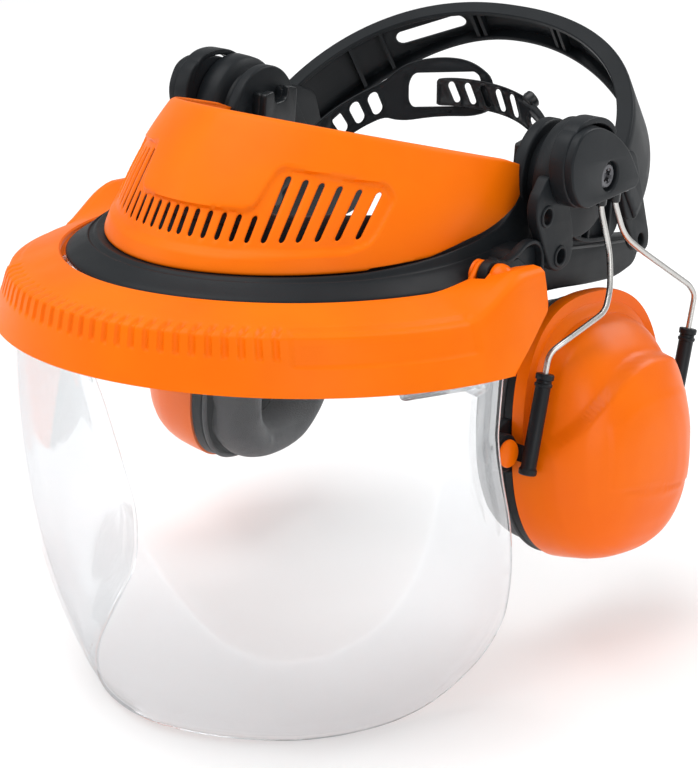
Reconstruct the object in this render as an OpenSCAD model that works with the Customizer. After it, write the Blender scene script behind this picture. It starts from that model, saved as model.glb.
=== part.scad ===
// Brow guard with flip-up face visor and swing-out ear muffs.
// The design axes sit on the visor's hinge line: X across the head, Y backwards, Z up.
// worn() tips the whole design forward-up and puts the origin in the middle of the head.

/* [Wearing position] */
// Backward tip of the whole guard, in degrees
tilt = 6.5; // [0:0.5:8]
// Head centre behind the visor's hinge line
head_y = 30; // [28:1:32]
// Head centre above the visor's hinge line
head_z = 5; // [3:1:8]

/* [Brow guard] */
// Half width of the guard at its base
guard_half_w = 72; // [71.5:0.1:72.5]
// Reach of the guard's base in front of the hinge line
guard_reach = 94.4; // [93:0.1:95]
// Half width of the guard at its top edge
guard_top_half_w = 73.3; // [72.8:0.1:73.8]
// Reach of the guard's top edge
guard_top_reach = 69; // [66:1:72]
// Outward bulge of the guard's wall
guard_bulge = 5; // [3:0.5:6]
// Wall thickness of the guard
guard_wall = 2.6; // [2:0.1:3]
// Number of small vents across the front
small_vents = 15; // [9:1:17]
// Number of large vents on each side
large_vents = 6; // [4:1:6]

/* [Visor] */
// Half width of the visor band at its lower edge
band_half_w = 111.7; // [111:0.1:112.5]
// Reach of the visor band in front of the hinge line
band_reach = 136.5; // [136:0.1:138]
// Height of the band's outer face
band_h = 22.3; // [21:0.1:23]
// Wall thickness of the band
band_wall = 2.4; // [2:0.1:2.6]
// Half width of the clear sheet at its top
sheet_half_w = 106; // [105.5:0.1:106.5]
// Reach of the clear sheet at its top
sheet_reach = 132; // [131.5:0.1:132.2]
// Thickness of the clear sheet
sheet_t = 1.6; // [1.2:0.1:2]
// Lean of the sheet's lower edge towards the chin
sheet_lean = 60; // [50:1:62]

/* [Hubs] */
// Hub axis behind the visor's hinge line
hub_y = 60; // [59.5:0.1:60.5]
// Hub axis above the visor's hinge line
hub_z = 31; // [30.5:0.1:31.5]
// Radius of the hub housings
hub_r = 24; // [23.5:0.1:24]
// Outer face of the hub caps, from the centre plane
cap_x = 101; // [100.8:0.1:102]

/* [Ear muffs] */
// Half width of a cup's rim, front to back
cup_half_w = 46; // [44:1:46]
// Half height of a cup's rim
cup_half_h = 54; // [52:1:54]
// Depth of a cup outwards from its rim
cup_depth = 38; // [34:1:40]
// Thickness of a cushion
cushion_t = 25.5; // [20:0.5:26]
// Forward turn of each cup, in degrees
cup_toe = 7; // [6:0.5:8]
// Outward lean of each cup's lower end, in degrees
cup_lean = 6; // [5:0.5:7]
// Radius of the arm wires
wire_r = 1.25; // [1:0.05:1.4]

/* [Head band] */
// Half width of the rear hoop
hoop_half_w = 90; // [90:0.5:92]
// Height of the rear hoop along its own slope
hoop_rise = 94.7; // [90:0.5:98]
// Width of the rear hoop's strip
hoop_w = 32; // [30:1:32]
// Half width of the nape strap
nape_half_w = 66; // [65.5:0.1:66]
// Length of the nape strap's loop along its own slope
nape_rise = 80; // [76:1:84]
// Width of the nape strap
nape_w = 13; // [11:1:14]

/* [Hidden] */
orange = [0.96, 0.45, 0.08];
black = [0.13, 0.14, 0.15];
grey = [0.35, 0.36, 0.37];
steel = [0.75, 0.75, 0.76];
clear = [0.85, 0.9, 0.92, 0.35];
fit = 0.05;
side_n = 1.95;
loop_y = -3.7;
round_fn = 48;

// ---- curves ----
function signed_pow(v, p) = sign(v) * pow(abs(v), p);
function smooth(v) = let(c = min(1, max(0, v))) c * c * (3 - 2 * c);
// A point on a U-shaped loop: half width a, reach d in front of yc, at angle t
function loop_x(a, n, t) = a * signed_pow(sin(t), 2 / n);
function loop_front(d, yc, n, t) = yc - (d + yc) * pow(abs(cos(t)), 2 / n);
// Stations round the loop: an angle from -90 to 90, or a straight run back at each end
function stations(steps, back) = concat(
    [for (i = [2:-1:1]) [90, back * i / 2]],
    [for (i = [0:steps]) [90 - 180 * i / steps, 0]],
    [for (i = [1:2]) [-90, back * i / 2]]
);
function oval(half_y, half_z, n, count) = [for (i = [0:count - 1]) let(t = 360 * i / count)
    [half_y * signed_pow(cos(t), 2 / n), half_z * signed_pow(sin(t), 2 / n)]];

// One solid through a row of closed rings, with a flat cap at each end
module skin(rings) {
    rows = len(rings);
    size = len(rings[0]);
    polyhedron(
        points = [for (ring = rings) each ring],
        faces = concat(
            [[for (k = [0:size - 1]) k]],
            [[for (k = [size - 1:-1:0]) (rows - 1) * size + k]],
            [for (i = [0:rows - 2], k = [0:size - 1]) let(q = (k + 1) % size)
                [i * size + k, (i + 1) * size + k, (i + 1) * size + q]],
            [for (i = [0:rows - 2], k = [0:size - 1]) let(q = (k + 1) % size)
                [i * size + k, (i + 1) * size + q, i * size + q]]
        )
    );
}

// Sweeps a profile of [half width, reach, height, share of the lift] points round the loop.
// lift is [where it starts, how far it takes, how high it goes].
module loop_skin(profile, n, steps, back, lift = [0, 1, 0]) {
    skin([for (s = stations(steps, back)) [for (p = profile)
        let(y = s[1] > 0 ? loop_y + s[1] : loop_front(p[1], loop_y, n, s[0]))
        let(share = len(p) > 3 ? p[3] : 0)
        [loop_x(p[0], n, s[0]), y, p[2] + share * lift[2] * smooth((y - lift[0]) / lift[1])]]]);
}

// ---- placing ----
module worn() rotate([-tilt, 0, 0]) translate([0, -head_y, -head_z]) children();
module on_side(name) {
    if (name == "left") children();
    else mirror([1, 0, 0]) children();
}
// A plate between two X positions, with its outline drawn as [y, z]
module side_plate(x0, x1) translate([x0, 0, 0]) rotate([90, 0, 90]) linear_extrude(x1 - x0) children();
module side_rod(x0, x1, y, z, r, fn = round_fn) translate([x0, y, z]) rotate([0, 90, 0])
    cylinder(h = x1 - x0, r = r, $fn = fn);
module bar_2d(p, q, r) hull() {
    translate(p) circle(r, $fn = 32);
    translate(q) circle(r, $fn = 32);
}
module cup_place() translate([88.3, 82.3, -76.5]) rotate([0, 0, -cup_toe]) rotate([0, -cup_lean, 0]) children();

// ---- frame ----
brim = [[80.6, 111, -4], [78, 105, 0.5], [73.5, 97, 3.2, 1], [66, 87, 3.2, 1], [66, 87, 22],
    [64, 84.5, 22], [64, 84.5, 0.6], [73.5, 96, 0.6], [79, 109, -6.5]];
boss_in = 70;
boss_out = 74;
ear_in = 85.1;
ear_out = 89.5;
stub_r = 12;
spindle_r = 8;

module frame_side() {
    side_plate(boss_in, boss_out) difference() {
        union() {
            translate([hub_y, hub_z]) circle(hub_r, $fn = 96);
            polygon([[41, 12], [hub_y - 20, hub_z - 14], [hub_y + 20, hub_z - 14], [92, -6], [30, -6]]);
            hull() {
                translate([30, -12.5]) square([10, 13], center = true);
                translate([130, -11.5]) circle(8, $fn = 32);
            }
        }
        translate([hub_y, hub_z]) circle(4, $fn = 32);
    }
    // shelf that carries the visor's hinge ear
    side_plate(boss_in, ear_out) polygon([[25, -5], [37, -5], [37, -12], [25, -12]]);
    side_plate(ear_in, ear_out) difference() {
        union() {
            bar_2d([0, 0], [0, 0.1], 6.2);
            bar_2d([3, 2.4], [24, 3], 3.8);
            bar_2d([24, 3], [29, -8], 3.8);
        }
        circle(3 + fit, $fn = round_fn);
    }
}

module brow_frame() color(black) {
    loop_skin(brim, side_n, 40, 44, [-94, 138, 8.7]);
    for (name = ["left", "right"]) on_side(name) frame_side();
}

guard_levels = [0, 0.12, 0.3, 0.5, 0.7, 0.88, 1];
function guard_point(v, t, back, inset) = let(
    yc = loop_y + (30.7 - loop_y) * v,
    n = 1.9 + 0.34 * v,
    bulge = guard_bulge * sin(180 * v) - inset,
    a = guard_half_w + (guard_top_half_w - guard_half_w) * v + bulge,
    d = guard_reach * (1 - v) + guard_top_reach * v + yc + bulge,
    y = back > 0 ? yc + back * (44 - yc) : yc - d * pow(abs(cos(t)), 2 / n),
    low = 4 + 0.065 * (y + 94),
    high = 45.65 - 0.2 * y
) [a * signed_pow(sin(t), 2 / n), y, low + (high - low) * v];
function guard_ring(s) = concat(
    [for (v = guard_levels) guard_point(v, s[0], s[1], 0)],
    [for (i = [len(guard_levels) - 1:-1:0]) guard_point(guard_levels[i], s[0], s[1], guard_wall)]
);
// Cuts a vent through the wall at loop angle t, between heights v0 and v1
module vent(t, v0, v1, w) {
    p = guard_point(v0, t, 0, 0);
    q = guard_point(v1, t, 0, 0);
    a = guard_point((v0 + v1) / 2, t - 1, 0, 0);
    b = guard_point((v0 + v1) / 2, t + 1, 0, 0);
    turn = atan2(b[1] - a[1], b[0] - a[0]);
    run = norm(q - p);
    translate((p + q) / 2) rotate([0, 0, turn])
        rotate([-atan2(norm([q[0] - p[0], q[1] - p[1]]), q[2] - p[2]), 0, 0])
            cube([w, 12, run], center = true);
}
module brow_guard() color(orange) intersection() {
    difference() {
        skin([for (s = stations(44, 1)) guard_ring(s)]);
        for (s = [-1, 1]) side_rod(min(60 * s, 90 * s), max(60 * s, 90 * s), hub_y, hub_z, hub_r + 0.4, 96);
        for (i = [0:small_vents - 1]) vent(-28 + 52 * i / (small_vents - 1), 0.12, 0.32, 2.4);
        for (i = [0:large_vents - 1], s = [-1, 1]) vent(s * (30 + 24 * i / (large_vents - 1)), 0.2, 0.6, 3);
    }
    side_plate(-90, 90) union() {
        translate([-110, 0]) square([130, 80]);
        hull() {
            translate([0, 8]) square([10, 36]);
            translate([29, 26.5]) circle(12.5, $fn = 48);
            translate([33, 30]) circle(9, $fn = 48);
        }
    }
}
module forehead_pad() color(grey)
    loop_skin([[63.6, 84.1, 2], [63.6, 84.1, 24], [56.5, 77, 24], [56.5, 77, 2]], side_n, 28, 8);

// ---- hub brackets ----
ear_holes = [[34.2, 19], [46.8, 1.3]];
ear_hole_r = 3;
module hub_bracket(name) color(black) on_side(name) difference() {
    union() {
        side_rod(boss_out, 79.8, hub_y, hub_z, stub_r);
        side_rod(79.6, 90, hub_y, hub_z, hub_r, 96);
        side_plate(86, 90) hull() {
            translate([45, 34]) circle(9, $fn = 32);
            translate(ear_holes[0]) circle(7.8, $fn = 32);
            translate(ear_holes[1]) circle(6.6, $fn = 32);
            translate([52, 8]) circle(5, $fn = 32);
        }
        side_plate(79.6, 85) polygon([[44, 16], [50, 8], [60, 4], [84, 2], [88, 6], [84, 20]]);
    }
    side_rod(80, 91, hub_y, hub_z, spindle_r + fit);
    for (p = ear_holes) side_rod(85, 91, p[0], p[1], ear_hole_r);
}
module strap_clip(name) color(black) on_side(name) difference() {
    union() {
        side_plate(66.6, boss_in) hull() {
            translate([61, -4]) circle(7, $fn = 32);
            translate([52, 22]) circle(5, $fn = 32);
            translate([70, 22]) circle(5, $fn = 32);
        }
        for (y = [50, 66]) translate([64, y, 18]) cube([6, 7, 26]);
        side_rod(61.5, 67, 61, -4, 3);
    }
    side_rod(65, 71, 61, 10, 3);
}

// ---- visor ----
crease_z = -31.8 + band_h;
band_profile = [
    [band_half_w, band_reach, -31.8], [band_half_w - 7, band_reach - 2.1, crease_z, 1],
    [84.3, 113.6, -2.7, 0.25], [84.3, 113.6, -2.7 - band_wall, 0.25],
    [band_half_w - 7 - band_wall, band_reach - 2.1 - band_wall, crease_z - band_wall, 1],
    [band_half_w - band_wall, band_reach - band_wall, -31.8]
];
module visor_band() color(orange) difference() {
    union() {
        difference() {
            intersection() {
                loop_skin(band_profile, side_n, 44, 24, [-34, 34, 14]);
                side_plate(-120, 120) polygon([[-150, -40], [-12, -40], [12, -10], [10, 12], [-150, 12]]);
            }
            for (name = ["left", "right"]) on_side(name) translate([80, -9, -14]) cube([9.8, 30, 30]);
        }
        for (name = ["left", "right"]) on_side(name) {
            side_plate(89.8, 92.8) bar_2d([0, 0], [-14, -4], 5.6);
            side_plate(82.6, 84.8) bar_2d([0, 0], [-14, -2.6], 5.2);
            translate([82.6, -19, -5]) cube([8, 7, 4]);
        }
    }
    for (name = ["left", "right"]) on_side(name) {
        side_rod(80, 93, 0, 0, 3 + fit);
        side_rod(92.95, 98, 0, 0, 5 + fit);
    }
}
module visor_pin(name) color(orange) on_side(name) rotate([0, 90, 0]) rotate_extrude($fn = round_fn)
    polygon([[0, 81.2], [5.6, 81.2], [5.6, 82.5], [3, 82.5], [3, 93], [5, 93], [5, 95.6], [4, 97], [0, 97]]);
function sheet_drop(z) = max(0, (-z - 30) / 175);
function sheet_w(z) = z > -30 ? sheet_half_w - 0.3 * (z + 30) : sheet_half_w - 49 * pow(sheet_drop(z), 3.95);
function sheet_d(z) = sheet_reach - sheet_lean * pow(sheet_drop(z), 1.7);
sheet_heights = [-187, -175, -163, -150, -135, -120, -105, -90, -75, -60, -45, -30, -23];
function sheet_profile(inset) = [for (z = sheet_heights) [sheet_w(z) - inset, sheet_d(z) - inset, z]];
module stud_places() for (t = [-62, -32, 0, 32, 62]) {
    x = loop_x(sheet_w(-26), 1.84, t);
    y = loop_front(sheet_d(-26), loop_y, 1.84, t);
    translate([x, y, -26]) rotate([0, 0, atan2(y - loop_y, x)]) rotate([0, 90, 0]) children();
}
module visor_sheet() color(clear) difference() {
    intersection() {
        loop_skin(concat(sheet_profile(0), [for (i = [len(sheet_heights) - 1:-1:0]) sheet_profile(sheet_t)[i]]),
            1.84, 40, 22);
        side_plate(-120, 120) polygon(concat(
            [[-150, -10], [-14, -10], [-14, -50], [2, -95], [14, -128]],
            [for (t = [0:15:75]) [-6 + 22 * cos(t), -140 - 24 * sin(t)]],
            [[-25, -178], [-60, -185.5], [-150, -186]]
        ));
    }
    stud_places() translate([0, 0, -6]) cylinder(h = 12, r = stud_r, $fn = 32);
}
stud_r = 2.2;
module visor_studs() color(black) stud_places() translate([0, 0, -4]) cylinder(h = 4.8, r = stud_r - 0.02, $fn = 32);
module visor_latch(name) color(clear) on_side(name) {
    side_plate(95.4, 97.6) polygon([[-36, -34], [-17, -30], [-16, -38], [-24, -42], [-36, -41]]);
    translate([93.4, -35, -40]) cube([2.4, 8, 5]);
}

// ---- head band ----
hoop_slope = 39.6;
hoop_seat = [0, 85, 8.5];
hoop_foot = 24.1;
module arch_2d(a, b) polygon([for (i = [0:60])
    [a * signed_pow(cos(3 * i), 2 / 2.27), b * pow(sin(3 * i), 2 / 2.27)]]);
module arch_strip(thick) intersection() {
    difference() {
        arch_2d(hoop_half_w, hoop_rise);
        arch_2d(hoop_half_w - thick, hoop_rise - thick);
    }
    translate([-120, hoop_foot]) square([240, 120]);
}
module rear_hoop() color(black) {
    translate(hoop_seat) rotate([hoop_slope, 0, 0]) {
        difference() {
            union() {
                linear_extrude(hoop_w, center = true) arch_strip(3);
                for (s = [-1, 1]) translate([0, 0, s * (hoop_w / 2 - 1.25)])
                    linear_extrude(2.5, center = true) arch_strip(7);
            }
            for (s = [-1, 1]) translate([s * 36, hoop_rise - 8, 0]) rotate([0, 0, -s * 18])
                cube([34, 40, 7], center = true);
        }
    }
}
module hoop_side(name) color(black) on_side(name) {
    translate(hoop_seat) rotate([hoop_slope, 0, 0])
        translate([(hoop_half_w + 75.2) / 2, hoop_foot - 3.2, 0])
            cube([hoop_half_w - 75.2, 6.2, hoop_w], center = true);
    side_plate(75.2, 79.2) difference() {
        hull() {
            translate([hub_y, hub_z]) circle(17, $fn = 64);
            translate([96, 28]) circle(7, $fn = 32);
            translate([105, 14]) circle(6, $fn = 32);
        }
        translate([hub_y, hub_z]) circle(stub_r + fit, $fn = 96);
    }
    difference() {
        side_plate(84, 88) difference() {
            hull() {
                translate([106, 14]) circle(7.5, $fn = 32);
                translate([121, -4]) circle(6, $fn = 32);
            }
            bar_2d([108, 12], [110, 8], 2);
            bar_2d([119, -1], [121, -4.5], 2);
        }
        translate(hoop_seat) rotate([hoop_slope, 0, 0]) translate([80, hoop_foot - 0.1, -30]) cube([20, 30, 60]);
    }
}
nape_slope = 39.4;
function nape_arc(a, b, from, to, count) = [for (i = [0:count]) let(t = from + (to - from) * i / count)
    [a * signed_pow(sin(t), 2 / 2.3), b * pow(abs(cos(t)), 2 / 2.3)]];
nape_t = 2.2;
nape_gap = 2.6;
module nape_strip(inset, from, to) polygon(concat(
    nape_arc(nape_half_w - inset, nape_rise - inset, from, to, 40),
    [for (i = [40:-1:0]) nape_arc(nape_half_w - inset - nape_t, nape_rise - inset - nape_t, from, to, 40)[i]]
));
module nape_place() translate([0, 61, -4]) rotate([nape_slope, 0, 0]) children();
// A cutter that points out from the loop's middle, at loop angle t
module nape_hole(t, w, h, skew) rotate([0, 0, 90 - t]) translate([40, 0, 0]) rotate([0, 90, 0])
    rotate([0, 0, skew]) linear_extrude(80) hull() for (s = [-1, 1])
        translate([s * (h - w) / 2, 0]) circle(w / 2, $fn = 32);
module strap_end(inset) difference() {
    side_plate(nape_half_w - inset - nape_t, nape_half_w - inset) bar_2d([61, -4], [66, 0.2], nape_w / 2);
    side_rod(60, 70, 61, -4, 3 + fit);
}
module nape_strap_left() color(black) {
    nape_place() difference() {
        linear_extrude(nape_w, center = true) nape_strip(nape_gap, -30, 86);
        for (i = [0:4]) nape_hole(-14 + 11 * i, 3.6, 9.5, 22);
    }
    strap_end(nape_gap);
}
module nape_strap_right() color(black) {
    nape_place() difference() {
        union() {
            linear_extrude(nape_w, center = true) nape_strip(0, -86, -36);
            linear_extrude(nape_w * 1.8, center = true) nape_strip(0, -37, 0);
        }
        nape_hole(-18, 13, 15, 90);
        for (i = [0:2]) nape_hole(-44 - 11 * i, 5, 9.5, 0);
    }
    mirror([1, 0, 0]) strap_end(0);
}

// ---- hubs and arms ----
swing_x = 95.5;
swing_z = 27;
module cap_outline(r, tail) hull() {
    translate([hub_y, hub_z - 2]) circle(r, $fn = 96);
    translate([85, 27]) circle(tail, $fn = 32);
}
module hub_cap(name) color(black) on_side(name) difference() {
    union() {
        side_plate(90.3, cap_x) intersection() {
            cap_outline(25, 5.5);
            translate([0, 22]) square([200, 60]);
        }
        side_plate(90.3, 97) intersection() {
            difference() {
                translate([hub_y, hub_z - 2]) circle(28, $fn = 96);
                translate([hub_y, hub_z - 2]) circle(24, $fn = 96);
            }
            polygon([[hub_y, hub_z - 2], [hub_y + 20, 80], [hub_y, 90], [0, 80], [0, hub_z + 10]]);
        }
        side_rod(80.3, 91, hub_y, hub_z, spindle_r);
    }
    side_rod(95.2, 110, hub_y, hub_z, 6.2);
    side_rod(79, 96, hub_y, hub_z, 2.55);
    translate([91.5, 67.4, 10]) cube([7.9, 17.6, 21.6]);
}
module hub_screw(name) color(steel) on_side(name) difference() {
    union() {
        side_rod(80.6, 95.3, hub_y, hub_z, 2.5);
        side_rod(95.2, 98.4, hub_y, hub_z, 4.6);
    }
    translate([97, hub_y, hub_z]) cube([4, 1.2, 5], center = true);
    translate([97, hub_y, hub_z]) cube([4, 5, 1.2], center = true);
}
module arm_yoke(name) color(black) on_side(name) difference() {
    translate([swing_x, 67.8, swing_z]) rotate([-90, 0, 0]) cylinder(h = 16.8, r = 3.6, $fn = round_fn);
    for (p = [front_path[0], rear_path[0]]) translate([p[0], p[1], p[2] - 20]) cylinder(h = 20, r = wire_r, $fn = 32);
}
sleeve_lean = 10;
sleeve_len = 41.4;
leg_dir = [0, sin(sleeve_lean), cos(sleeve_lean)];
front_mid = [94, 34.1, -65.1];
rear_mid = [106.5, 128.7, -60.4];
front_path = [[swing_x, 69.6, swing_z], [swing_x, 69.6, 17], [97.5, 72, 6], [100, 72.8, -3], [103, 69, -12],
    [104.5, 63.5, -20.5], [103, 57, -25], [98, 45, -31], front_mid + 29 * leg_dir, front_mid - 9 * leg_dir];
rear_path = [[swing_x, 80, swing_z], [swing_x, 80, 18], [97, 84, 8.5], [99, 93, 0.5], [101, 111, -9],
    [105, 131, -21], rear_mid + 35 * leg_dir, rear_mid - 9 * leg_dir];
// Rounds each inner corner of a path with a short curve
function unit(v) = v / norm(v);
bend = 4.5;
function rounded(path) = concat([path[0]], [for (i = [1:len(path) - 2], k = [0:4])
    let(p = path[i] + unit(path[i - 1] - path[i]) * bend, q = path[i] + unit(path[i + 1] - path[i]) * bend)
    let(u = k / 4)
    p * pow(1 - u, 2) + path[i] * 2 * u * (1 - u) + q * u * u], [path[len(path) - 1]]);
module wire(path) {
    line = rounded(path);
    last = len(line) - 1;
    skin([for (i = [0:last])
        let(run = unit(line[min(last, i + 1)] - line[max(0, i - 1)]))
        let(u = unit(cross(run, [1, 0, 0])), v = cross(run, u))
        [for (k = [0:9]) line[i] + wire_r * (u * cos(36 * k) + v * sin(36 * k))]]);
}
module front_wire(name) color(steel) on_side(name) wire(front_path);
module rear_wire(name) color(steel) on_side(name) wire(rear_path);

pin_front_y = -57;
pin_rear_y = 55;
pin_x = 2.8;
pin_z = -1;
module sleeve(mid, pin_y) difference() {
    union() {
        translate(mid) rotate([-sleeve_lean, 0, 0]) {
            cylinder(h = sleeve_len, r = 3.1, center = true, $fn = round_fn);
            for (z = [-sleeve_len / 2 + 1.5, sleeve_len / 2 - 6, sleeve_len / 2 - 1.5]) translate([0, 0, z])
                cylinder(h = 3, r = 3.8, center = true, $fn = round_fn);
        }
        hull() {
            cup_place() translate([2.4, pin_y - sign(pin_y) * 7.4, pin_z]) cube([3.6, 1.5, 7], center = true);
            translate(mid) rotate([-sleeve_lean, 0, 0]) translate([0, 0, -11.5])
                cylinder(h = 7, r = 2.4, center = true, $fn = 32);
        }
        cup_place() translate([0.6, pin_y, pin_z]) rotate([0, 90, 0]) cylinder(h = 4.4, r = 7.6, $fn = round_fn);
    }
    cup_place() translate([-5, pin_y, pin_z]) rotate([0, 90, 0]) cylinder(h = 10.01, r = 5.2, $fn = round_fn);
    translate(mid) rotate([-sleeve_lean, 0, 0])
        cylinder(h = sleeve_len + 10, r = wire_r + fit, center = true, $fn = round_fn);
}
module front_sleeve(name) color(black) on_side(name) sleeve(front_mid, pin_front_y);
module rear_sleeve(name) color(black) on_side(name) sleeve(rear_mid, pin_rear_y);

// ---- ear cups ----
// Rings of a bell: [distance out, half width, half height, drop]
cup_levels = [[0, 1, 1, 0], [0.09, 1, 1, 0], [0.12, 0.9, 0.915, 0], [0.32, 0.885, 0.9, 1], [0.52, 0.85, 0.86, 2.5],
    [0.7, 0.78, 0.78, 4.5], [0.84, 0.66, 0.66, 6.2], [0.94, 0.48, 0.48, 7.6], [1, 0.2, 0.2, 8.4]];
function bell_rings(depth, w, h, shift) = [for (l = cup_levels)
    [for (p = oval(w * l[1], h * l[2], 2.5, 40)) [shift + depth * l[0], p[0], p[1] - l[3]]]];
function flat_rings(x0, x1, w, h) = [for (x = [x0, x1]) [for (p = oval(w, h, 2.5, 40)) [x, p[0], p[1]]]];
module slab(x0, x1, w, h) translate([x0, 0, 0]) rotate([90, 0, 90]) linear_extrude(x1 - x0)
    polygon(oval(w, h, 2.5, 48));
module ear_cup(name) color(orange) on_side(name) cup_place() difference() {
    skin(bell_rings(cup_depth, cup_half_w, cup_half_h, 0));
    skin(bell_rings(cup_depth - 3, cup_half_w * 0.9, cup_half_h * 0.9, -0.01));
}
module cup_plate(name) color(black) on_side(name) cup_place() difference() {
    union() {
        slab(-5, 0, cup_half_w - 0.6, cup_half_h - 0.6);
        for (y = [pin_front_y, pin_rear_y]) translate([-5, 0, 0]) rotate([90, 0, 90]) linear_extrude(4.2)
            hull() {
                translate([y, pin_z]) circle(6, $fn = 32);
                translate([y - sign(y) * 18, pin_z]) square([4, 18], center = true);
            }
    }
    slab(-6, 1, 26, 34);
}
module cup_pins(name) color(orange) on_side(name) cup_place() for (y = [pin_front_y, pin_rear_y])
    translate([pin_x, y, pin_z]) rotate([0, 90, 0]) rotate_extrude($fn = round_fn)
        polygon(concat([[0, -3.6], [3.4, -3.6]], [for (t = [-42:12:42]) [5 * cos(t), 5 * sin(t)]], [[0, 3.35]]));
module ear_cushion(name) color(grey) on_side(name) cup_place() difference() {
    slab(-5.2 - cushion_t, -5.2, cup_half_w - 2, cup_half_h - 2);
    slab(-40, 0, 24, 32);
}
module cup_foam(name) color(grey) on_side(name) cup_place() slab(3, 13, 34, 40);

worn() {
    brow_frame();
    brow_guard();
    forehead_pad();
    visor_band();
    visor_sheet();
    visor_studs();
    rear_hoop();
    nape_strap_left();
    nape_strap_right();
    for (name = ["left", "right"]) {
        hoop_side(name);
        hub_bracket(name);
        strap_clip(name);
        visor_pin(name);
        visor_latch(name);
        hub_cap(name);
        hub_screw(name);
        arm_yoke(name);
        front_wire(name);
        rear_wire(name);
        front_sleeve(name);
        rear_sleeve(name);
        ear_cup(name);
        cup_plate(name);
        cup_pins(name);
        ear_cushion(name);
        cup_foam(name);
    }
}
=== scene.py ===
"""Visual model of the brow guard with visor and ear muffs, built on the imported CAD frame.

Shapes are drawn in the design frame of the CAD: millimetres, X across the head, Y backwards, Z up,
with the origin on the visor's hinge line. TO_ROW takes them to the row frame in metres.
"""

import math

import bmesh
import bpy
import numpy as np
from mathutils import Matrix, Vector
from mathutils.geometry import delaunay_2d_cdt


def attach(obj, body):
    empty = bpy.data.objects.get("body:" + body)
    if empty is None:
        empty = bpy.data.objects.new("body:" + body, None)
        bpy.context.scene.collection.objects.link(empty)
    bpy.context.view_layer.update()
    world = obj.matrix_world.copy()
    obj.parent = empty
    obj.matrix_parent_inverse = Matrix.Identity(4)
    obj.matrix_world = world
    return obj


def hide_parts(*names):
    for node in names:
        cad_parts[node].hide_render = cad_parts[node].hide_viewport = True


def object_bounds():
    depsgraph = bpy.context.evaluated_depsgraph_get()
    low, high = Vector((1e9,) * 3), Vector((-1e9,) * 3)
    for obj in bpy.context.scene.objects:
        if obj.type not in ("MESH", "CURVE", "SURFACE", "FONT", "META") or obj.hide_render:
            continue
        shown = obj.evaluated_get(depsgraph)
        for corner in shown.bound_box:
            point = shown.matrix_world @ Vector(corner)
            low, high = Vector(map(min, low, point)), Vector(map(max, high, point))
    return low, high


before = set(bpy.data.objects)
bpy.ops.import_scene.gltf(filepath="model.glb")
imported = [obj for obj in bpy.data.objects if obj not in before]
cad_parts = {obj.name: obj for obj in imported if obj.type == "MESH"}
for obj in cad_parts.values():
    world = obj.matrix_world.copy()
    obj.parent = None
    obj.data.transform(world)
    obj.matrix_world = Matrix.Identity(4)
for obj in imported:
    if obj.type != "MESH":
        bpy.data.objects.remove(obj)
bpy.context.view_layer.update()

TILT = math.radians(6.5)
HEAD = Vector((0, 30, 5))
TO_ROW = Matrix.Scale(0.001, 4) @ Matrix.Rotation(-TILT, 4, "X") @ Matrix.Translation(-HEAD)
SIDES = (("left", 1), ("right", -1))
LOOP_Y = -3.7
HUB = (60.0, 31.0)


# ---- curves ----
def spow(v, p):
    return math.copysign(abs(v) ** p, v)


def smooth(v):
    c = min(1.0, max(0.0, v))
    return c * c * (3 - 2 * c)


def mix(a, b, u):
    return a + (b - a) * u


def loop_x(a, n, t):
    return a * spow(math.sin(math.radians(t)), 2 / n)


def loop_front(d, yc, n, t):
    return yc - (d + yc) * abs(math.cos(math.radians(t))) ** (2 / n)


def on_loop(a, d, n, t, back):
    """A point of a loop round the head: half width a, front depth d, at angle t or back mm behind its end."""
    return loop_x(a, n, t), LOOP_Y + back if back > 0 else loop_front(d, LOOP_Y, n, t)


def oval(half_y, half_z, n, count):
    out = []
    for i in range(count):
        t = 2 * math.pi * i / count
        out.append((half_y * spow(math.cos(t), 2 / n), half_z * spow(math.sin(t), 2 / n)))
    return out


def circle_2d(c, r, count=32, start=0.0):
    turns = [start + 2 * math.pi * i / count for i in range(count)]
    return [(c[0] + r * math.cos(a), c[1] + r * math.sin(a)) for a in turns]


def hull_2d(circles, count=40):
    """Outline round several circles, each (y, z, r), anticlockwise."""
    pts = sorted({(round(x, 5), round(y, 5)) for c in circles for x, y in circle_2d(c[:2], c[2], count)})

    def turn(a, b, c):
        return (b[0] - a[0]) * (c[1] - a[1]) - (b[1] - a[1]) * (c[0] - a[0])

    def half(points):
        out = []
        for p in points:
            while len(out) > 1 and turn(out[-2], out[-1], p) <= 0:
                out.pop()
            out.append(p)
        return out

    low, high = half(pts), half(pts[::-1])
    return low[:-1] + high[:-1]


def rounded_2d(points, radii, count=8):
    """A polygon with each corner rounded by its own radius."""
    out = []
    total = len(points)
    for i, p in enumerate(points):
        r = radii[i] if isinstance(radii, (list, tuple)) else radii
        p = Vector(p)
        a, b = Vector(points[i - 1]) - p, Vector(points[(i + 1) % total]) - p
        k = min(r, a.length * 0.48, b.length * 0.48)
        a, b = p + a.normalized() * k, p + b.normalized() * k
        for j in range(count + 1):
            u = j / count
            out.append(tuple(a * (1 - u) ** 2 + p * 2 * u * (1 - u) + b * u * u))
    return out


def slot_2d(p, q, w, count=10):
    """A stadium between two points."""
    p, q = Vector(p), Vector(q)
    d = (q - p).normalized()
    turn = math.atan2(d[1], d[0])
    r = w / 2
    p, q = p + d * r, q - d * r
    out = []
    for centre, start in ((q, turn - math.pi / 2), (p, turn + math.pi / 2)):
        for i in range(count + 1):
            a = start + math.pi * i / count
            out.append((centre[0] + r * math.cos(a), centre[1] + r * math.sin(a)))
    return out


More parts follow.
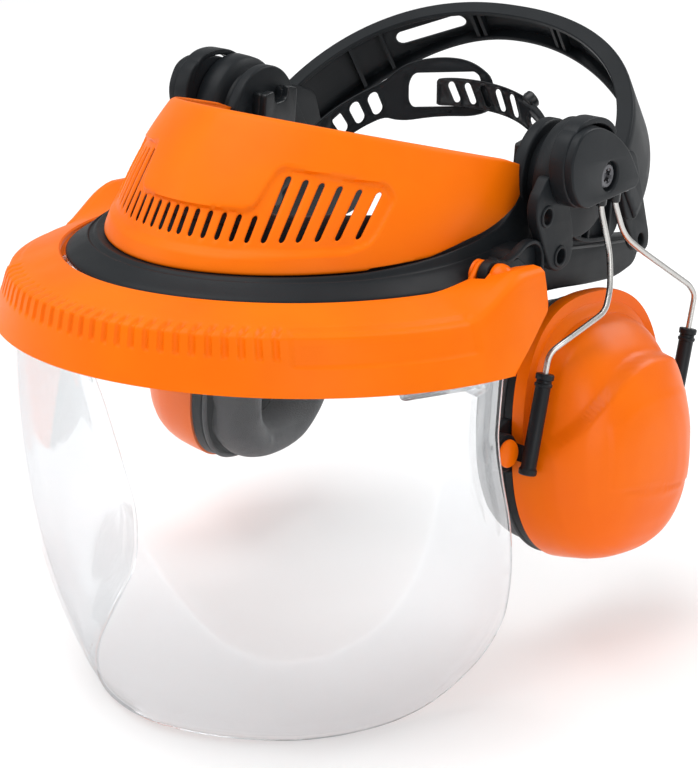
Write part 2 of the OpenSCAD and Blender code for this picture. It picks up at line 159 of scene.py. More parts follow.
def resample(points, step, closed=True):
    pts = [Vector(p) for p in points]
    if closed:
        pts.append(pts[0])
    lengths = [0.0]
    for a, b in zip(pts, pts[1:]):
        lengths.append(lengths[-1] + (b - a).length)
    count = max(3, round(lengths[-1] / step))
    out = []
    j = 0
    for i in range(count if closed else count + 1):
        s = lengths[-1] * i / count
        while j < len(lengths) - 2 and lengths[j + 1] < s:
            j += 1
        span = max(1e-9, lengths[j + 1] - lengths[j])
        out.append(pts[j].lerp(pts[j + 1], min(1, (s - lengths[j]) / span)))
    return out


def grown(outline, amount):
    """The outline moved sideways by amount, outwards when it runs anticlockwise."""
    out = []
    for i, p in enumerate(outline):
        d = Vector(outline[(i + 1) % len(outline)]) - Vector(outline[i - 1])
        if d.length > 1e-9:
            d.normalize()
            out.append((p[0] + d[1] * amount, p[1] - d[0] * amount))
    return out


def lengths_along(points):
    """Distance from the first point to each point of a line."""
    return np.concatenate([[0], np.cumsum(np.linalg.norm(np.diff(np.array(points), axis=0), axis=1))])


def catmull(points, per=8):
    """A smooth curve through points, with its ends kept."""
    pts = [Vector(p) for p in points]
    out = []
    for i in range(len(pts) - 1):
        p0, p1, p2, p3 = pts[max(0, i - 1)], pts[i], pts[i + 1], pts[min(len(pts) - 1, i + 2)]
        for j in range(per):
            u = j / per
            out.append(0.5 * ((2 * p1) + (p2 - p0) * u + (2 * p0 - 5 * p1 + 4 * p2 - p3) * u * u
                + (3 * p1 - p0 - 3 * p2 + p3) * u ** 3))
    out.append(pts[-1])
    return out


def inside(poly, xs, ys):
    """Which of the points lie inside a polygon."""
    result = np.zeros(len(xs), bool)
    pts = np.array([(p[0], p[1]) for p in poly])
    for (x0, y0), (x1, y1) in zip(pts, np.roll(pts, -1, axis=0)):
        if y0 == y1:
            continue
        hit = ((ys < y0) != (ys < y1)) & (xs < (x1 - x0) * (ys - y0) / (y1 - y0) + x0)
        result ^= hit
    return result


def distance(poly, xs, ys):
    """Distance of the points from a closed outline."""
    best = np.full(len(xs), 1e9)
    pts = np.array([(p[0], p[1]) for p in poly])
    for (x0, y0), (x1, y1) in zip(pts, np.roll(pts, -1, axis=0)):
        dx, dy = x1 - x0, y1 - y0
        long = dx * dx + dy * dy
        if long == 0:
            continue
        u = np.clip(((xs - x0) * dx + (ys - y0) * dy) / long, 0, 1)
        best = np.minimum(best, np.hypot(xs - x0 - u * dx, ys - y0 - u * dy))
    return best


# ---- materials ----
def nodes_of(name):
    mat = bpy.data.materials.new(name)
    mat.use_nodes = True
    tree = mat.node_tree
    return mat, tree, tree.nodes["Principled BSDF"]


def put(tree, node, links=None, **values):
    """Sets a node's inputs by value, or links them from other nodes' outputs."""
    for key, value in values.items():
        node.inputs[key.replace("_", " ")].default_value = value
    for key, source in (links or {}).items():
        tree.links.new(source, node.inputs[key])
    return node


def add(tree, kind, links=None, **values):
    return put(tree, tree.nodes.new("ShaderNode" + kind), links, **values)


def noise(tree, scale, detail=2.0, rough=0.5):
    where = add(tree, "TexCoord").outputs["Object"]
    return add(tree, "TexNoise", {"Vector": where}, Scale=scale, Detail=detail,
        Roughness=rough).outputs["Fac"]


def span(tree, fac, low, high, a, b):
    return add(tree, "MapRange", {"Value": fac}, From_Min=low, From_Max=high, To_Min=a,
        To_Max=b).outputs["Result"]


def colours(tree, fac, a, b):
    node = tree.nodes.new("ShaderNodeMix")
    node.data_type = "RGBA"
    node.inputs["A"].default_value = (*a, 1)
    node.inputs["B"].default_value = (*b, 1)
    tree.links.new(fac, node.inputs["Factor"])
    return node.outputs["Result"]


def drift(tree, dark, light, scale):
    """A slow drift between two colours."""
    return colours(tree, span(tree, noise(tree, scale, 3), 0.35, 0.65, 0, 1), dark, light)


def plastic(name, dark, light, rough, grain, grain_scale, coat=0.0, shine=0.25):
    """Moulded plastic: slow colour drift, uneven gloss, a fine spark-eroded grain and faint flow marks."""
    mat, tree, shader = nodes_of(name)
    gloss = span(tree, noise(tree, 55, 4, 0.6), 0.3, 0.7, rough - 0.045, rough + 0.045)
    fine = add(tree, "Bump", {"Height": noise(tree, grain_scale, 2)}, Strength=grain, Distance=0.00012)
    slow = add(tree, "Bump", {"Height": noise(tree, 40, 2), "Normal": fine.outputs["Normal"]}, Strength=0.10,
        Distance=0.0006)
    put(tree, shader, {"Base Color": drift(tree, dark, light, 22), "Roughness": gloss,
        "Normal": slow.outputs["Normal"]}, IOR=1.46, Specular_IOR_Level=shine, Coat_Weight=coat,
        Coat_Roughness=0.25)
    return mat


def metal(name, dark, light, rough, scale):
    """Drawn wire: a bright metal with fine scratches and slight tarnish."""
    mat, tree, shader = nodes_of(name)
    gloss = span(tree, noise(tree, scale, 5, 0.7), 0.3, 0.7, rough - 0.08, rough + 0.1)
    bump = add(tree, "Bump", {"Height": noise(tree, scale * 2, 3)}, Strength=0.25, Distance=0.00005)
    put(tree, shader, {"Base Color": colours(tree, noise(tree, scale / 9, 3), dark, light),
        "Roughness": gloss, "Normal": bump.outputs["Normal"]}, Metallic=1.0)
    return mat


def soft(name, dark, light, rough, cell, depth, sheen, weave=False):
    """Grained vinyl or knitted pad: cells pressed into the surface, with a sheen at its edges."""
    mat, tree, shader = nodes_of(name)
    cells = add(tree, "TexVoronoi", {"Vector": add(tree, "TexCoord").outputs["Object"]}, Scale=cell)
    cells.feature = "F1" if weave else "DISTANCE_TO_EDGE"
    gloss = span(tree, noise(tree, 300, 3), 0.3, 0.7, rough - 0.07, rough + 0.07)
    bump = add(tree, "Bump", {"Height": span(tree, cells.outputs["Distance"], 0, 0.25, 0, 1)}, Strength=0.5,
        Distance=depth)
    put(tree, shader, {"Base Color": drift(tree, dark, light, 60), "Roughness": gloss,
        "Normal": bump.outputs["Normal"]}, Sheen_Weight=sheen, Sheen_Roughness=0.5)
    return mat


def clear_sheet(name, face, edge, gloss):
    """Thin clear polycarbonate: nearly invisible face on, greyer and glossier as it turns away. The greying
    is painted shade in the see-through colour, standing in for darker surroundings reflected at grazing
    angles; the gloss is a real glossy layer.
    """
    mat = bpy.data.materials.new(name)
    mat.use_nodes = True
    tree = mat.node_tree
    tree.nodes.remove(tree.nodes["Principled BSDF"])
    facing = add(tree, "LayerWeight", Blend=0.5).outputs["Facing"]
    curve = add(tree, "Math", {0: facing})
    curve.operation = "POWER"
    curve.inputs[1].default_value = 4.0
    weight = add(tree, "Math", {0: add(tree, "Fresnel", IOR=1.45).outputs[0]})
    weight.operation = "MULTIPLY"
    weight.inputs[1].default_value = gloss
    # the see-through colour greys with the viewing angle: painted shade for surroundings reflected at grazing
    # angles
    through = add(tree, "BsdfTransparent", {"Color": colours(tree, curve.outputs[0], face, edge)})
    shine = add(tree, "BsdfGlossy", {"Roughness": span(tree, noise(tree, 30, 2), 0.3, 0.7, 0.03, 0.07)},
        Color=(0.95, 0.96, 0.97, 1))
    both = add(tree, "MixShader", {0: weight.outputs[0], 1: through.outputs[0], 2: shine.outputs[0]})
    tree.links.new(both.outputs[0], tree.nodes["Material Output"].inputs["Surface"])
    return mat


ORANGE = plastic("orange_plastic", (0.88, 0.148, 0.0), (0.92, 0.172, 0.0), 0.44, 0.22, 2600, shine=0.14)
ORANGE_CUP = plastic("orange_cup_plastic", (0.88, 0.140, 0.0), (0.92, 0.162, 0.0), 0.34, 0.14, 2200,
    coat=0.02, shine=0.2)
BLACK = plastic("black_plastic", (0.0065, 0.0085, 0.0105), (0.0110, 0.0135, 0.0160), 0.46, 0.40, 2300,
    shine=0.2)
BLACK_SMOOTH = plastic("black_smooth_plastic", (0.006, 0.0075, 0.009), (0.010, 0.012, 0.014), 0.32, 0.18,
    2300, shine=0.4)
SLEEVE = plastic("sleeve_rubber", (0.007, 0.0085, 0.0105), (0.011, 0.013, 0.016), 0.40, 0.20, 2600)
STEEL = metal("wire_steel", (0.50, 0.49, 0.47), (0.66, 0.65, 0.63), 0.30, 900)
SCREW = metal("screw_steel", (0.09, 0.09, 0.10), (0.17, 0.17, 0.18), 0.36, 1200)
VINYL = soft("cushion_vinyl", (0.028, 0.030, 0.033), (0.042, 0.044, 0.048), 0.55, 900, 0.00018, 0.06)
PAD = soft("sweatband_knit", (0.018, 0.019, 0.021), (0.028, 0.029, 0.032), 0.85, 1300, 0.00030, 0.20, True)
FOAM = soft("liner_foam", (0.012, 0.012, 0.014), (0.022, 0.022, 0.024), 0.95, 700, 0.0006, 0.12, True)
# the grey grazing-angle colours of these clear materials, and the greyer cut rim of the visor and latch, are
# painted shade for reflected surroundings
CLEAR = clear_sheet("clear_visor", (0.975, 0.979, 0.982), (0.93, 0.935, 0.94), 0.5)
CLEAR_EDGE = clear_sheet("clear_visor_edge", (0.90, 0.91, 0.92), (0.74, 0.755, 0.77), 0.9)
CLEAR_TAB = clear_sheet("clear_latch", (0.955, 0.96, 0.965), (0.82, 0.83, 0.84), 0.9)


# ---- mesh building ----
def finish_piece(obj, body, node=None):
    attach(obj, body)
    if node:
        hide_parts(node)
    return obj


def build(name, verts, faces, mats, side=1, sub=0, sharp=38, solid=0.0, weld=0.0):
    """One object from design-frame points. side -1 mirrors it to the right."""
    mesh = bpy.data.meshes.new(name)
    pts = [TO_ROW @ Vector((v[0] * side, v[1], v[2])) for v in verts]
    mesh.from_pydata(pts, [], [f[::-1] for f in faces] if side < 0 else faces)
    bm = bmesh.new()
    bm.from_mesh(mesh)
    if weld:
        bmesh.ops.remove_doubles(bm, verts=bm.verts, dist=weld * 0.001)
    bmesh.ops.recalc_face_normals(bm, faces=bm.faces)
    for f in bm.faces:
        f.smooth = True
    bm.to_mesh(mesh)
    bm.free()
    mesh.set_sharp_from_angle(angle=math.radians(sharp))
    for m in mats if isinstance(mats, (list, tuple)) else [mats]:
        mesh.materials.append(m)
    obj = bpy.data.objects.new(name, mesh)
    bpy.context.scene.collection.objects.link(obj)
    if solid:
        m = obj.modifiers.new("wall", "SOLIDIFY")
        m.thickness = solid * 0.001
        m.offset = -1
        m.use_even_offset = True
        m.thickness_clamp = 1.0
    if sub:
        m = obj.modifiers.new("smooth", "SUBSURF")
        m.levels = m.render_levels = sub
    return obj


def piece(name, shape, mats, body, slot, node=None, **how):
    return finish_piece(build(name, *shape, mats, **how), body, node)


def pair(name, shape, mats, body, slot, node=None, **how):
    """A piece on the left and its mirror image on the right. {} in body and node stands for the side."""
    for side, k in SIDES:
        stands_for = node and node.format(side)
        piece(f"{name}_{side}", shape, mats, body.format(side), slot, stands_for, side=k, **how)


def evaluated(obj):
    """A new mesh of the object with its modifiers applied."""
    return bpy.data.meshes.new_from_object(obj.evaluated_get(bpy.context.evaluated_depsgraph_get()))


def skin(rings, cap=True):
    """Quads through a row of closed rings."""
    size = len(rings[0])
    verts = [p for ring in rings for p in ring]
    faces = []
    for i in range(len(rings) - 1):
        for k in range(size):
            q = (k + 1) % size
            faces.append((i * size + k, (i + 1) * size + k, (i + 1) * size + q, i * size + q))
    if cap:
        faces.append(tuple(range(size)))
        faces.append(tuple((len(rings) - 1) * size + k for k in range(size - 1, -1, -1)))
    return verts, faces


def circle_3d(centre, u, v, radius, sides):
    turns = [2 * math.pi * k / sides for k in range(sides)]
    return [centre + (u * math.cos(a) + v * math.sin(a)) * radius for a in turns]


def tube(line, radius, sides=14):
    """A round rod along a line of points."""
    rings = []
    last = len(line) - 1
    for i, p in enumerate(line):
        run = (Vector(line[min(last, i + 1)]) - Vector(line[max(0, i - 1)])).normalized()
        u = run.cross(Vector((1, 0, 0))).normalized()
        rings.append(circle_3d(Vector(p), u, run.cross(u), radius, sides))
    return skin(rings)


def lathe(profile, centre, axis=(1, 0, 0), sides=72):
    """Turns [distance along the axis, radius] points about an axis through centre."""
    axis = Vector(axis).normalized()
    u = axis.orthogonal().normalized()
    return skin([circle_3d(Vector(centre) + axis * s, u, axis.cross(u), max(r, 0.001), sides)
        for s, r in profile])


def join(*parts):
    verts, faces = [], []
    for v, f in parts:
        base = len(verts)
        verts += list(v)
        faces += [tuple(base + i for i in face) for face in f]
    return verts, faces


def plate(outline, holes, x0, x1, edge=0.6):
    """A flat plate across X with rounded edges. Its outline and holes are drawn as (y, z)."""
    curve = bpy.data.curves.new("plate", "CURVE")
    curve.dimensions = "2D"
    curve.fill_mode = "BOTH"
    curve.extrude = (x1 - x0) / 2 - edge
    curve.bevel_depth = edge
    curve.bevel_resolution = 3
    curve.offset = -edge
    for pts in [outline] + list(holes):
        spline = curve.splines.new("POLY")
        spline.points.add(len(pts) - 1)
        for point, (y, z) in zip(spline.points, pts):
            point.co = (y, z, 0, 1)
        spline.use_cyclic_u = True
    obj = bpy.data.objects.new("plate", curve)
    bpy.context.scene.collection.objects.link(obj)
    mesh = evaluated(obj)
    verts = [((x0 + x1) / 2 + v.co[2], v.co[0], v.co[1]) for v in mesh.vertices]
    faces = [tuple(p.vertices) for p in mesh.polygons]
    bpy.data.objects.remove(obj)
    bpy.data.curves.remove(curve)
    bpy.data.meshes.remove(mesh)
    return verts, faces


def plates(*rows):
    """Several plates as one shape. Each row is outline, holes, first x, last x, edge."""
    return join(*(plate(*row) for row in rows))


def region(outline, holes, step, place, relief=None, lip=0.3, ring=0.5):
    """A sheet with holes on a curved surface. place(u, w, inset) is a point, inset mm under the skin."""
    loops = [[tuple(p) for p in loop] for loop in [resample(outline, step * 1.1)] + list(holes)]
    rims = []
    for number, loop in enumerate(loops):
        total = len(loop)
        area = sum(loop[i - 1][0] * loop[i][1] - loop[i][0] * loop[i - 1][1] for i in range(total))
        grow = math.copysign(ring, area) * (-1 if number == 0 else 1)
        rims.append(grown(loop, grow))
    us = np.array([p[0] for p in loops[0]])
    ws = np.array([p[1] for p in loops[0]])
    gu, gw = np.meshgrid(np.arange(us.min(), us.max(), step), np.arange(ws.min(), ws.max(), step))
    gu[1::2] += step / 2
    gu, gw = gu.ravel(), gw.ravel()
    keep = inside(loops[0], gu, gw) & (distance(loops[0], gu, gw) > ring + step * 0.4)
    gu, gw = gu[keep], gw[keep]
    for loop in loops[1:]:
        keep = ~(inside(loop, gu, gw) | (distance(loop, gu, gw) < ring + step * 0.4))
        gu, gw = gu[keep], gw[keep]
    coords, edges, depth = [], [], []
    for loop, rim in zip(loops, rims):
        for pts, down in ((loop, lip), (rim, 0.0)):
            base = len(coords)
            coords += [Vector(p) for p in pts]
            depth += [down] * len(pts)
            edges += [(base + i, base + (i + 1) % len(pts)) for i in range(len(pts))]
    coords += [Vector((float(a), float(b))) for a, b in zip(gu, gw)]
    depth += [0.0] * len(gu)
    out, _, tris, source, _, _ = delaunay_2d_cdt(coords, edges, [], 0, 1e-4)
    cx = np.array([sum(out[i][0] for i in t) / 3 for t in tris])
    cy = np.array([sum(out[i][1] for i in t) / 3 for t in tris])
    keep = inside(loops[0], cx, cy)
    for loop in loops[1:]:
        keep &= ~inside(loop, cx, cy)
    levels = [max((depth[i] for i in src), default=0.0) for src in source]
    if relief is not None:
        extra = relief(np.array([p[0] for p in out]), np.array([p[1] for p in out]))
        levels = [a + float(b) for a, b in zip(levels, extra)]
    verts = [place(p[0], p[1], d) for p, d in zip(out, levels)]
    faces = [tuple(t) for t, k in zip(tris, keep) if k]
    used = sorted({i for f in faces for i in f})
    index = {old: new for new, old in enumerate(used)}
    return [verts[i] for i in used], [tuple(index[i] for i in f) for f in faces]


# ---- brow guard ----
GUARD_W = 45.0
VENT_MID = 1.4


def guard_point(v, t, back, inset):
    yc = mix(LOOP_Y, 30.7, v)
    n = mix(1.9, 1.73, v)
    out = 1.6 * math.sin(math.pi * min(1, max(0, v))) - inset
    a = mix(72, 72.6, v) + out
    d = mix(94.4, 59.5, v) + yc + out
    y = yc + back * (44 - yc) if back > 0 else yc - d * abs(math.cos(math.radians(t))) ** (2 / n)
    return (a * spow(math.sin(math.radians(t)), 2 / n), y, mix(2 + 0.045 * (y + 94), 45.4 - 0.2 * y, v))


ARC_T = np.linspace(0, 90, 181)
ARC_S = lengths_along([guard_point(0.3, t, 0, 0) for t in ARC_T])
BACK_LEN = 38.0


def arc(t):
    return math.copysign(float(np.interp(abs(t), ARC_T, ARC_S)), t)


def guard_at(u, w, inset):
    s = abs(u)
    if s <= ARC_S[-1]:
        x, y, z = guard_point(w / GUARD_W, float(np.interp(s, ARC_S, ARC_T)), 0, inset)
    else:
        x, y, z = guard_point(w / GUARD_W, 90, (s - ARC_S[-1]) / BACK_LEN, inset)
    return (x if u >= 0 else -x, y, z)


def guard_side(y, v):
    yc = mix(LOOP_Y, 30.7, v)
    return (ARC_S[-1] + (y - yc) / (44 - yc) * BACK_LEN, v * GUARD_W)


def mirrored(points, middle=0.0):
    """Closes a half outline, given from the middle outwards along the bottom and back along the top."""
    return list(points) + [(2 * middle - p[0], p[1]) for p in reversed(points)]


guard_end = [guard_side(8, 0.113), guard_side(17, 0.147), guard_side(26, 0.222), guard_side(33, 0.325),
    guard_side(38.0, 0.446), guard_side(41.4, 0.586), guard_side(43.4, 0.74), guard_side(43.9, 0.84),
    guard_side(43.2, 0.905), guard_side(41.6, 0.945), (ARC_S[-1] - 4, GUARD_W * 0.995)]
FOOT_STEP = 0.012
guard_half = [(0.0, 0.0), (arc(45), 0.0), (arc(61), 0.0), (arc(61.4), FOOT_STEP * GUARD_W),
    (arc(80), 0.03 * GUARD_W)]
guard_half += [tuple(p) for p in catmull(guard_end, 6)]
guard_half += [(arc(60), GUARD_W), (0.0, GUARD_W)]
guard_outline = mirrored(guard_half[1:-1])

recess_half = [(6.8, 0.115), (19.8, 0.112), (27.8, 0.125), (51.6, 0.145), (57.0, 0.20), (57.4, 0.52),
    (53.1, 0.635), (26.6, 0.678), (25.0, 0.645), (23.0, 0.41), (21.0, 0.378), (6.8, 0.370)]
recess = [(arc(VENT_MID + t), v * GUARD_W) for t, v in recess_half]
recess += [(arc(VENT_MID - t), v * GUARD_W) for t, v in reversed(recess_half)]
recess = rounded_2d(recess, 3.0, 5)


def guard_relief(us, ws):
    d = distance(recess, us, ws)
    d = np.where(inside(recess, us, ws), d, -d)
    depth = 1.7 * np.clip((d + 0.5) / 1.1, 0, 1) ** 1.2
    curl = np.clip((ws - (GUARD_W - 1.6)) / 1.6, 0, 1)
    foot = np.clip((1.2 - ws) / 1.2, 0, 1)
    return depth + 0.9 * curl ** 1.5 + 0.5 * foot


vents = []
for t in (30, 34.7, 39, 43.8, 49, 54.3):
    run = (t - 30) / 24.3
    for angle in (t, 2 * VENT_MID - t):
        vents.append(slot_2d((arc(angle), mix(0.187, 0.222, run) * GUARD_W),
            (arc(angle), mix(0.62, 0.567, run) * GUARD_W), 2.2))
for i in range(12):
    t = 25.5 - 4.38 * i
    vents.append(slot_2d((arc(t), 0.182 * GUARD_W), (arc(t), 0.348 * GUARD_W), 1.9, 8))
shape = region(guard_outline, vents, 0.95, guard_at, guard_relief, lip=0.35, ring=0.42)
piece("guard_shell", shape, ORANGE, "frame", "orange_shell", "brow_guard", solid=2.3, sharp=50)

# ---- brow frame ----
BEAD = [(-94, 4.2), (-50, 6.1), (8, 11.2), (17, 12.8), (26, 14.4), (33, 18.4), (38, 24), (41.5, 30.5),
    (46, 40)]


def bead_z(y):
    return float(np.interp(y, [p[0] for p in BEAD], [p[1] for p in BEAD]))


def brim_ring(t, back):
    """Cross-section of the crescent: under edge, outer edge, slope, bead at the guard's foot, inner wall."""
    out = []
    for a, d, z, lift in ((80.6, 108.6, -6.6, 0), (82.2, 110.6, -5.4, 0), (82.9, 111.3, -3.9, 0),
            (82.2, 110.2, -2.7, 0.0), (80.4, 107.6, -1.5, 0.03), (78.4, 104.4, 0.0, 0.10),
            (76.6, 102.4, 1.15, 0.25), (76.2, 101.6, 1.75, 0.34), (75.85, 101.0, 1.80, 0.40),
            (75.5, 100.3, 0.95, 0.48), (75.0, 99.2, 0.9, 0.66), (74.5, 98.3, 1.5, 0.85),
            (74.0, 97.5, 2.2, 1.0), (73.4, 96.8, 2.4, 1.0), (72.6, 95.6, 1.9, 0.96), (70.0, 92.0, 1.6, 0.9),
            (66.4, 86.4, 1.6, 0.7), (65.2, 78.6, 17.4, 0), (64.6, 77.7, 18.2, 0), (63.8, 76.6, 17.4, 0),
            (64.0, 84.0, 0.2, 0), (70.0, 92.0, 0.0, 0.0), (74.0, 98.5, -1.2, 0.0)):
        x, y = on_loop(a, d, 1.95, t, back)
        out.append((x, y, z + (bead_z(y) - 4.2) * lift))
    return out


def all_round(angles, backs):
    """Stations from the left end round the front to the right end: (angle, mm behind 90 degrees)."""
    return [(90, b) for b in reversed(backs)] + [(t, 0) for t in angles] + [(-90, b) for b in backs]


stations = all_round([90 - 1.5 * i for i in range(121)],
    (4, 8, 12, 16, 20, 23, 26, 29, 32, 35, 38, 41, 44, 47, 49.5))
shape = skin([brim_ring(t, b) for t, b in stations])
piece("brim", shape, BLACK, "frame", "black_frame", "brow_frame", sub=1, sharp=60)

panel = rounded_2d([(20, -6.5), (22, -19.6), (66, -18.9), (98, -21.6), (121, -22.4), (136.8, -18.4),
    (139.6, -10), (136.5, -5.6), (82, 0.4), (40, 6)], [3, 4, 30, 20, 12, 9, 7, 5, 10, 6])
panel_rib = rounded_2d([(60, -0.6), (100, -4.2), (128, -6.2), (128, -7.4), (100, -5.6), (60, -2.0)], 0.5, 3)
hook = catmull([(0.5, 6.4), (5, 4.6), (10, 4.2), (16, 5.9), (22.6, 8.9), (28.6, 9.4), (33.6, 7.0),
    (35.8, 2.6), (36.2, -4), (36.4, -10)], 6)


def ribbon(line, width):
    left, right = [], []
    for i, p in enumerate(line):
        d = (Vector(line[min(i + 1, len(line) - 1)]) - Vector(line[max(i - 1, 0)])).normalized()
        left.append((p[0] - d[1] * width / 2, p[1] + d[0] * width / 2))
        right.append((p[0] + d[1] * width / 2, p[1] - d[0] * width / 2))
    return left + right[::-1]


# web, hub flange, its shoulder, hook rib, cavity behind it, hook foot, visor hinge ear and the rib to it
arm = plates((panel, [], 67.6, 75.6, 1.4),
    (circle_2d(HUB, 21.6, 96), [circle_2d(HUB, 4, 24)], 69.4, 75.0, 1.3),
    (hull_2d([(*HUB, 20), (46, 4, 7), (100, 2.5, 6)]), [], 69.6, 73.4, 0.6),
    (ribbon(hook, 1.9), [], 85.6, 89.4, 0.6),
    (hull_2d([(22, 0.5, 6.0), (31, 1, 6.0), (33, -8, 4), (16, -8, 3)]), [], 75.4, 86.0, 0.6),
    (hull_2d([(30, -9, 3.2), (24, -10, 3.2), (36, -9, 3)]), [], 70, 89.2, 0.8),
    (hull_2d([(0, 0.4, 6.0), (5.5, 1.4, 4.4)]), [circle_2d((0, 0), 3.05, 32)], 85.2, 89.5, 0.6),
    (hull_2d([(4, 0.4, 3.2), (20, 0.8, 3.0), (29, -5, 3.4)]), [], 85.7, 87.4, 0.5))
pair("frame_arm", arm, BLACK, "frame", "black_frame", weld=0.004)
pair("panel_groove", plate(panel_rib, [], 75.2, 76.3, 0.3), BLACK_SMOOTH, "frame", "black_frame", weld=0.004)

# bracket: a waisted drum, a holed ear in front and a ribbed skirt below
drum = lathe([(74.4, 17.6), (76.0, 17.4), (78.6, 18.4), (79.6, 20.4), (80.4, 22.6), (81.6, 23.6),
    (85.0, 24.0), (89.2, 24.2), (89.9, 23.8), (90.2, 23.0), (90.2, 9.0)], (0, *HUB))
ear = rounded_2d([(33.5, 36), (26.2, 26.2), (26.2, 19.0), (40.0, -2.6), (46.5, -5.4), (54.8, -3.0),
    (56.8, 3.0), (55.0, 12.0), (50, 24)], [4, 6, 6, 5, 5, 5, 5, 4, 4])
eyes = ((34.2, 19), (46.8, 1.3))
skirt = rounded_2d([(44, 20), (50, 12.5), (58, 7.2), (68, 3.4), (84, 1.0), (99, 0.4), (103, 5.0),
    (99, 22), (86, 28)], [3, 6, 8, 8, 6, 4, 4, 4, 4])
parts = [drum, plate(ear, [circle_2d(c, 3.1) for c in eyes], 85.4, 90.4, 0.7),
    plate(skirt, [], 80.2, 84.2, 0.8)]
parts += [plate(circle_2d(c, 4.5, 40), [circle_2d(c, 3.1)], 89.6, 91.0, 0.45) for c in eyes]
for y, low in ((66.0, 4.2), (72.6, 3.2), (89.0, 1.8)):
    parts.append(plate(rounded_2d([(y, low), (y + 1.7, low), (y + 1.7, 20), (y, 20)], 0.5, 3), [], 83.8,
        87.4, 0.4))
parts.append(plate(ribbon(catmull([(50.5, 15.4), (56, 10.4), (63, 6.2), (71, 3.6), (80, 2.4), (92, 1.6)],
    5), 1.8), [], 83.6, 87.6, 0.5))
pair("bracket", join(*parts), BLACK, "frame", "black_frame", "hub_bracket_{}", weld=0.004)

# inner clip with two prongs
clip = rounded_2d([(50, 42), (50, 18), (56, -9), (61, -11.4), (66, -9), (73, 18), (73, 43), (66, 43),
    (65.2, 37.5), (57.2, 36.5), (56, 42)], [1.2, 4, 6, 6, 6, 4, 1.6, 1.6, 2.6, 2.6, 1.6], 5)
prongs = rounded_2d([(50.4, 20), (72.6, 20), (72.6, 43), (66.4, 44.2), (65.4, 38.4), (57.4, 37.4), (56.2, 43),
    (50.4, 41.8)], [1, 1, 1.2, 1.2, 2.2, 2.2, 1.2, 1.2], 5)
rivet = lathe([(61.3, 0.01), (61.3, 3.6), (62.0, 4.2), (63.0, 4.2), (63.4, 3.0), (67, 2.95)], (0, 61, -4))
shape = join(plate(clip, [circle_2d((61, 10), 3, 24)], 65.6, 69.4, 0.6),
    plate(prongs, [], 62.6, 66.4, 0.7), rivet)
pair("clip", shape, BLACK_SMOOTH, "frame", "black_frame", "strap_clip_{}", weld=0.004)

# ---- visor band ----
RIB_FIRST, RIB_STEP, RIB_COUNT = -39.0, 3.0, 27
rib_angles = np.array([RIB_FIRST + RIB_STEP * i for i in range(RIB_COUNT)])
BAND = [(111.7, 136.5, -31.8, 0.0), (110.9, 136.3, -29.0, 0.04), (105.5, 134.75, -13.3, 0.82),
    (104.3, 134.3, -10.9, 1.0), (102.4, 132.6, -9.5, 1.0), (99.0, 129.2, -8.3, 0.94),
    (86.6, 116.2, -3.3, 0.32), (84.9, 114.4, -2.8, 0.26), (84.2, 113.5, -3.4, 0.24),
    (84.2, 113.5, -4.8, 0.24), (85.0, 114.4, -5.4, 0.24), (99.0, 128.0, -10.9, 0.94),
    (102.2, 131.4, -12.6, 0.98), (103.2, 132.2, -14.6, 0.80), (109.0, 133.9, -30.9, 0.02),
    (109.4, 134.2, -31.8, 0.0)]


def band_samples():
    """Points round the band's section, closer together where ribs and panels lie."""
    line = [Vector(p) for p in BAND]
    out = []
    for i in range(len(line)):
        a, b = line[i], line[(i + 1) % len(line)]
        length = math.hypot(b[1] - a[1] if abs(b[0] - a[0]) < 1 else b[0] - a[0], b[2] - a[2])
        step = 0.75 if i < 7 else 3.0
        count = max(1, int(length / step))
        for j in range(count):
            out.append((a.lerp(b, j / count), i + j / count))
    return out


band_line = band_samples()
CREASE = 3.5
MM_PER_DEGREE = 1.72


def band_offset(t, part, run):
    """How far the surface drops below the plain section, run mm from the crease, on its face or its top."""
    if part >= 7:
        return 0.0
    on_top = part > CREASE
    drop = 0.0
    if run < 9.5:
        nearest = rib_angles[np.argmin(np.abs(rib_angles + (run * 0.10 if on_top else 0) - t))]
        off = abs(t - nearest - (run * 0.16 if on_top else 0)) * MM_PER_DEGREE
        reach = 5.2 if on_top else 8.6
        if off < 1.3 and abs(nearest) <= 39.1:
            drop += 1.1 * smooth((1.3 - off) / 0.8) * smooth((reach - run) / 1.4)
    if 41.5 < abs(t) < 78.5:
        edge = min(abs(t) - 41.8, 77.6 - abs(t)) * 1.6
        edge = min(edge, (4.4 if on_top else 10.4) - run)
        drop += 0.8 * smooth((edge + 0.3) / 0.6)
    return drop


def band_ring(t, back):
    ring = []
    for point, part in band_line:
        a, d, z, lift = point
        if part < 7:
            run = max(0.0, -10.6 - z if part <= CREASE else 103.6 - a)
            drop = band_offset(t, part, run) if back == 0 else 0.0
            if part <= 3:
                a, d = a - drop, d - drop
            elif part >= 4:
                z -= drop
            else:
                u = part - 3
                a, d, z = a - drop * (1 - u), d - drop * (1 - u), z - drop * u
        x, y = on_loop(a, d, 1.95, t, back)
        ring.append([x, y, z + 14 * lift * smooth((y + 34) / 34)])
    return ring


def band_trim(ring):
    """Cuts the band's rear end on the slant: the lower edge stops first."""
    for p in ring:
        limit = float(np.interp(p[2], [-36, -12.5, -9.5, 8], [-20.5, 11.6, 12.8, 12.2]))
        if p[1] > limit:
            p[1] = limit
    return ring


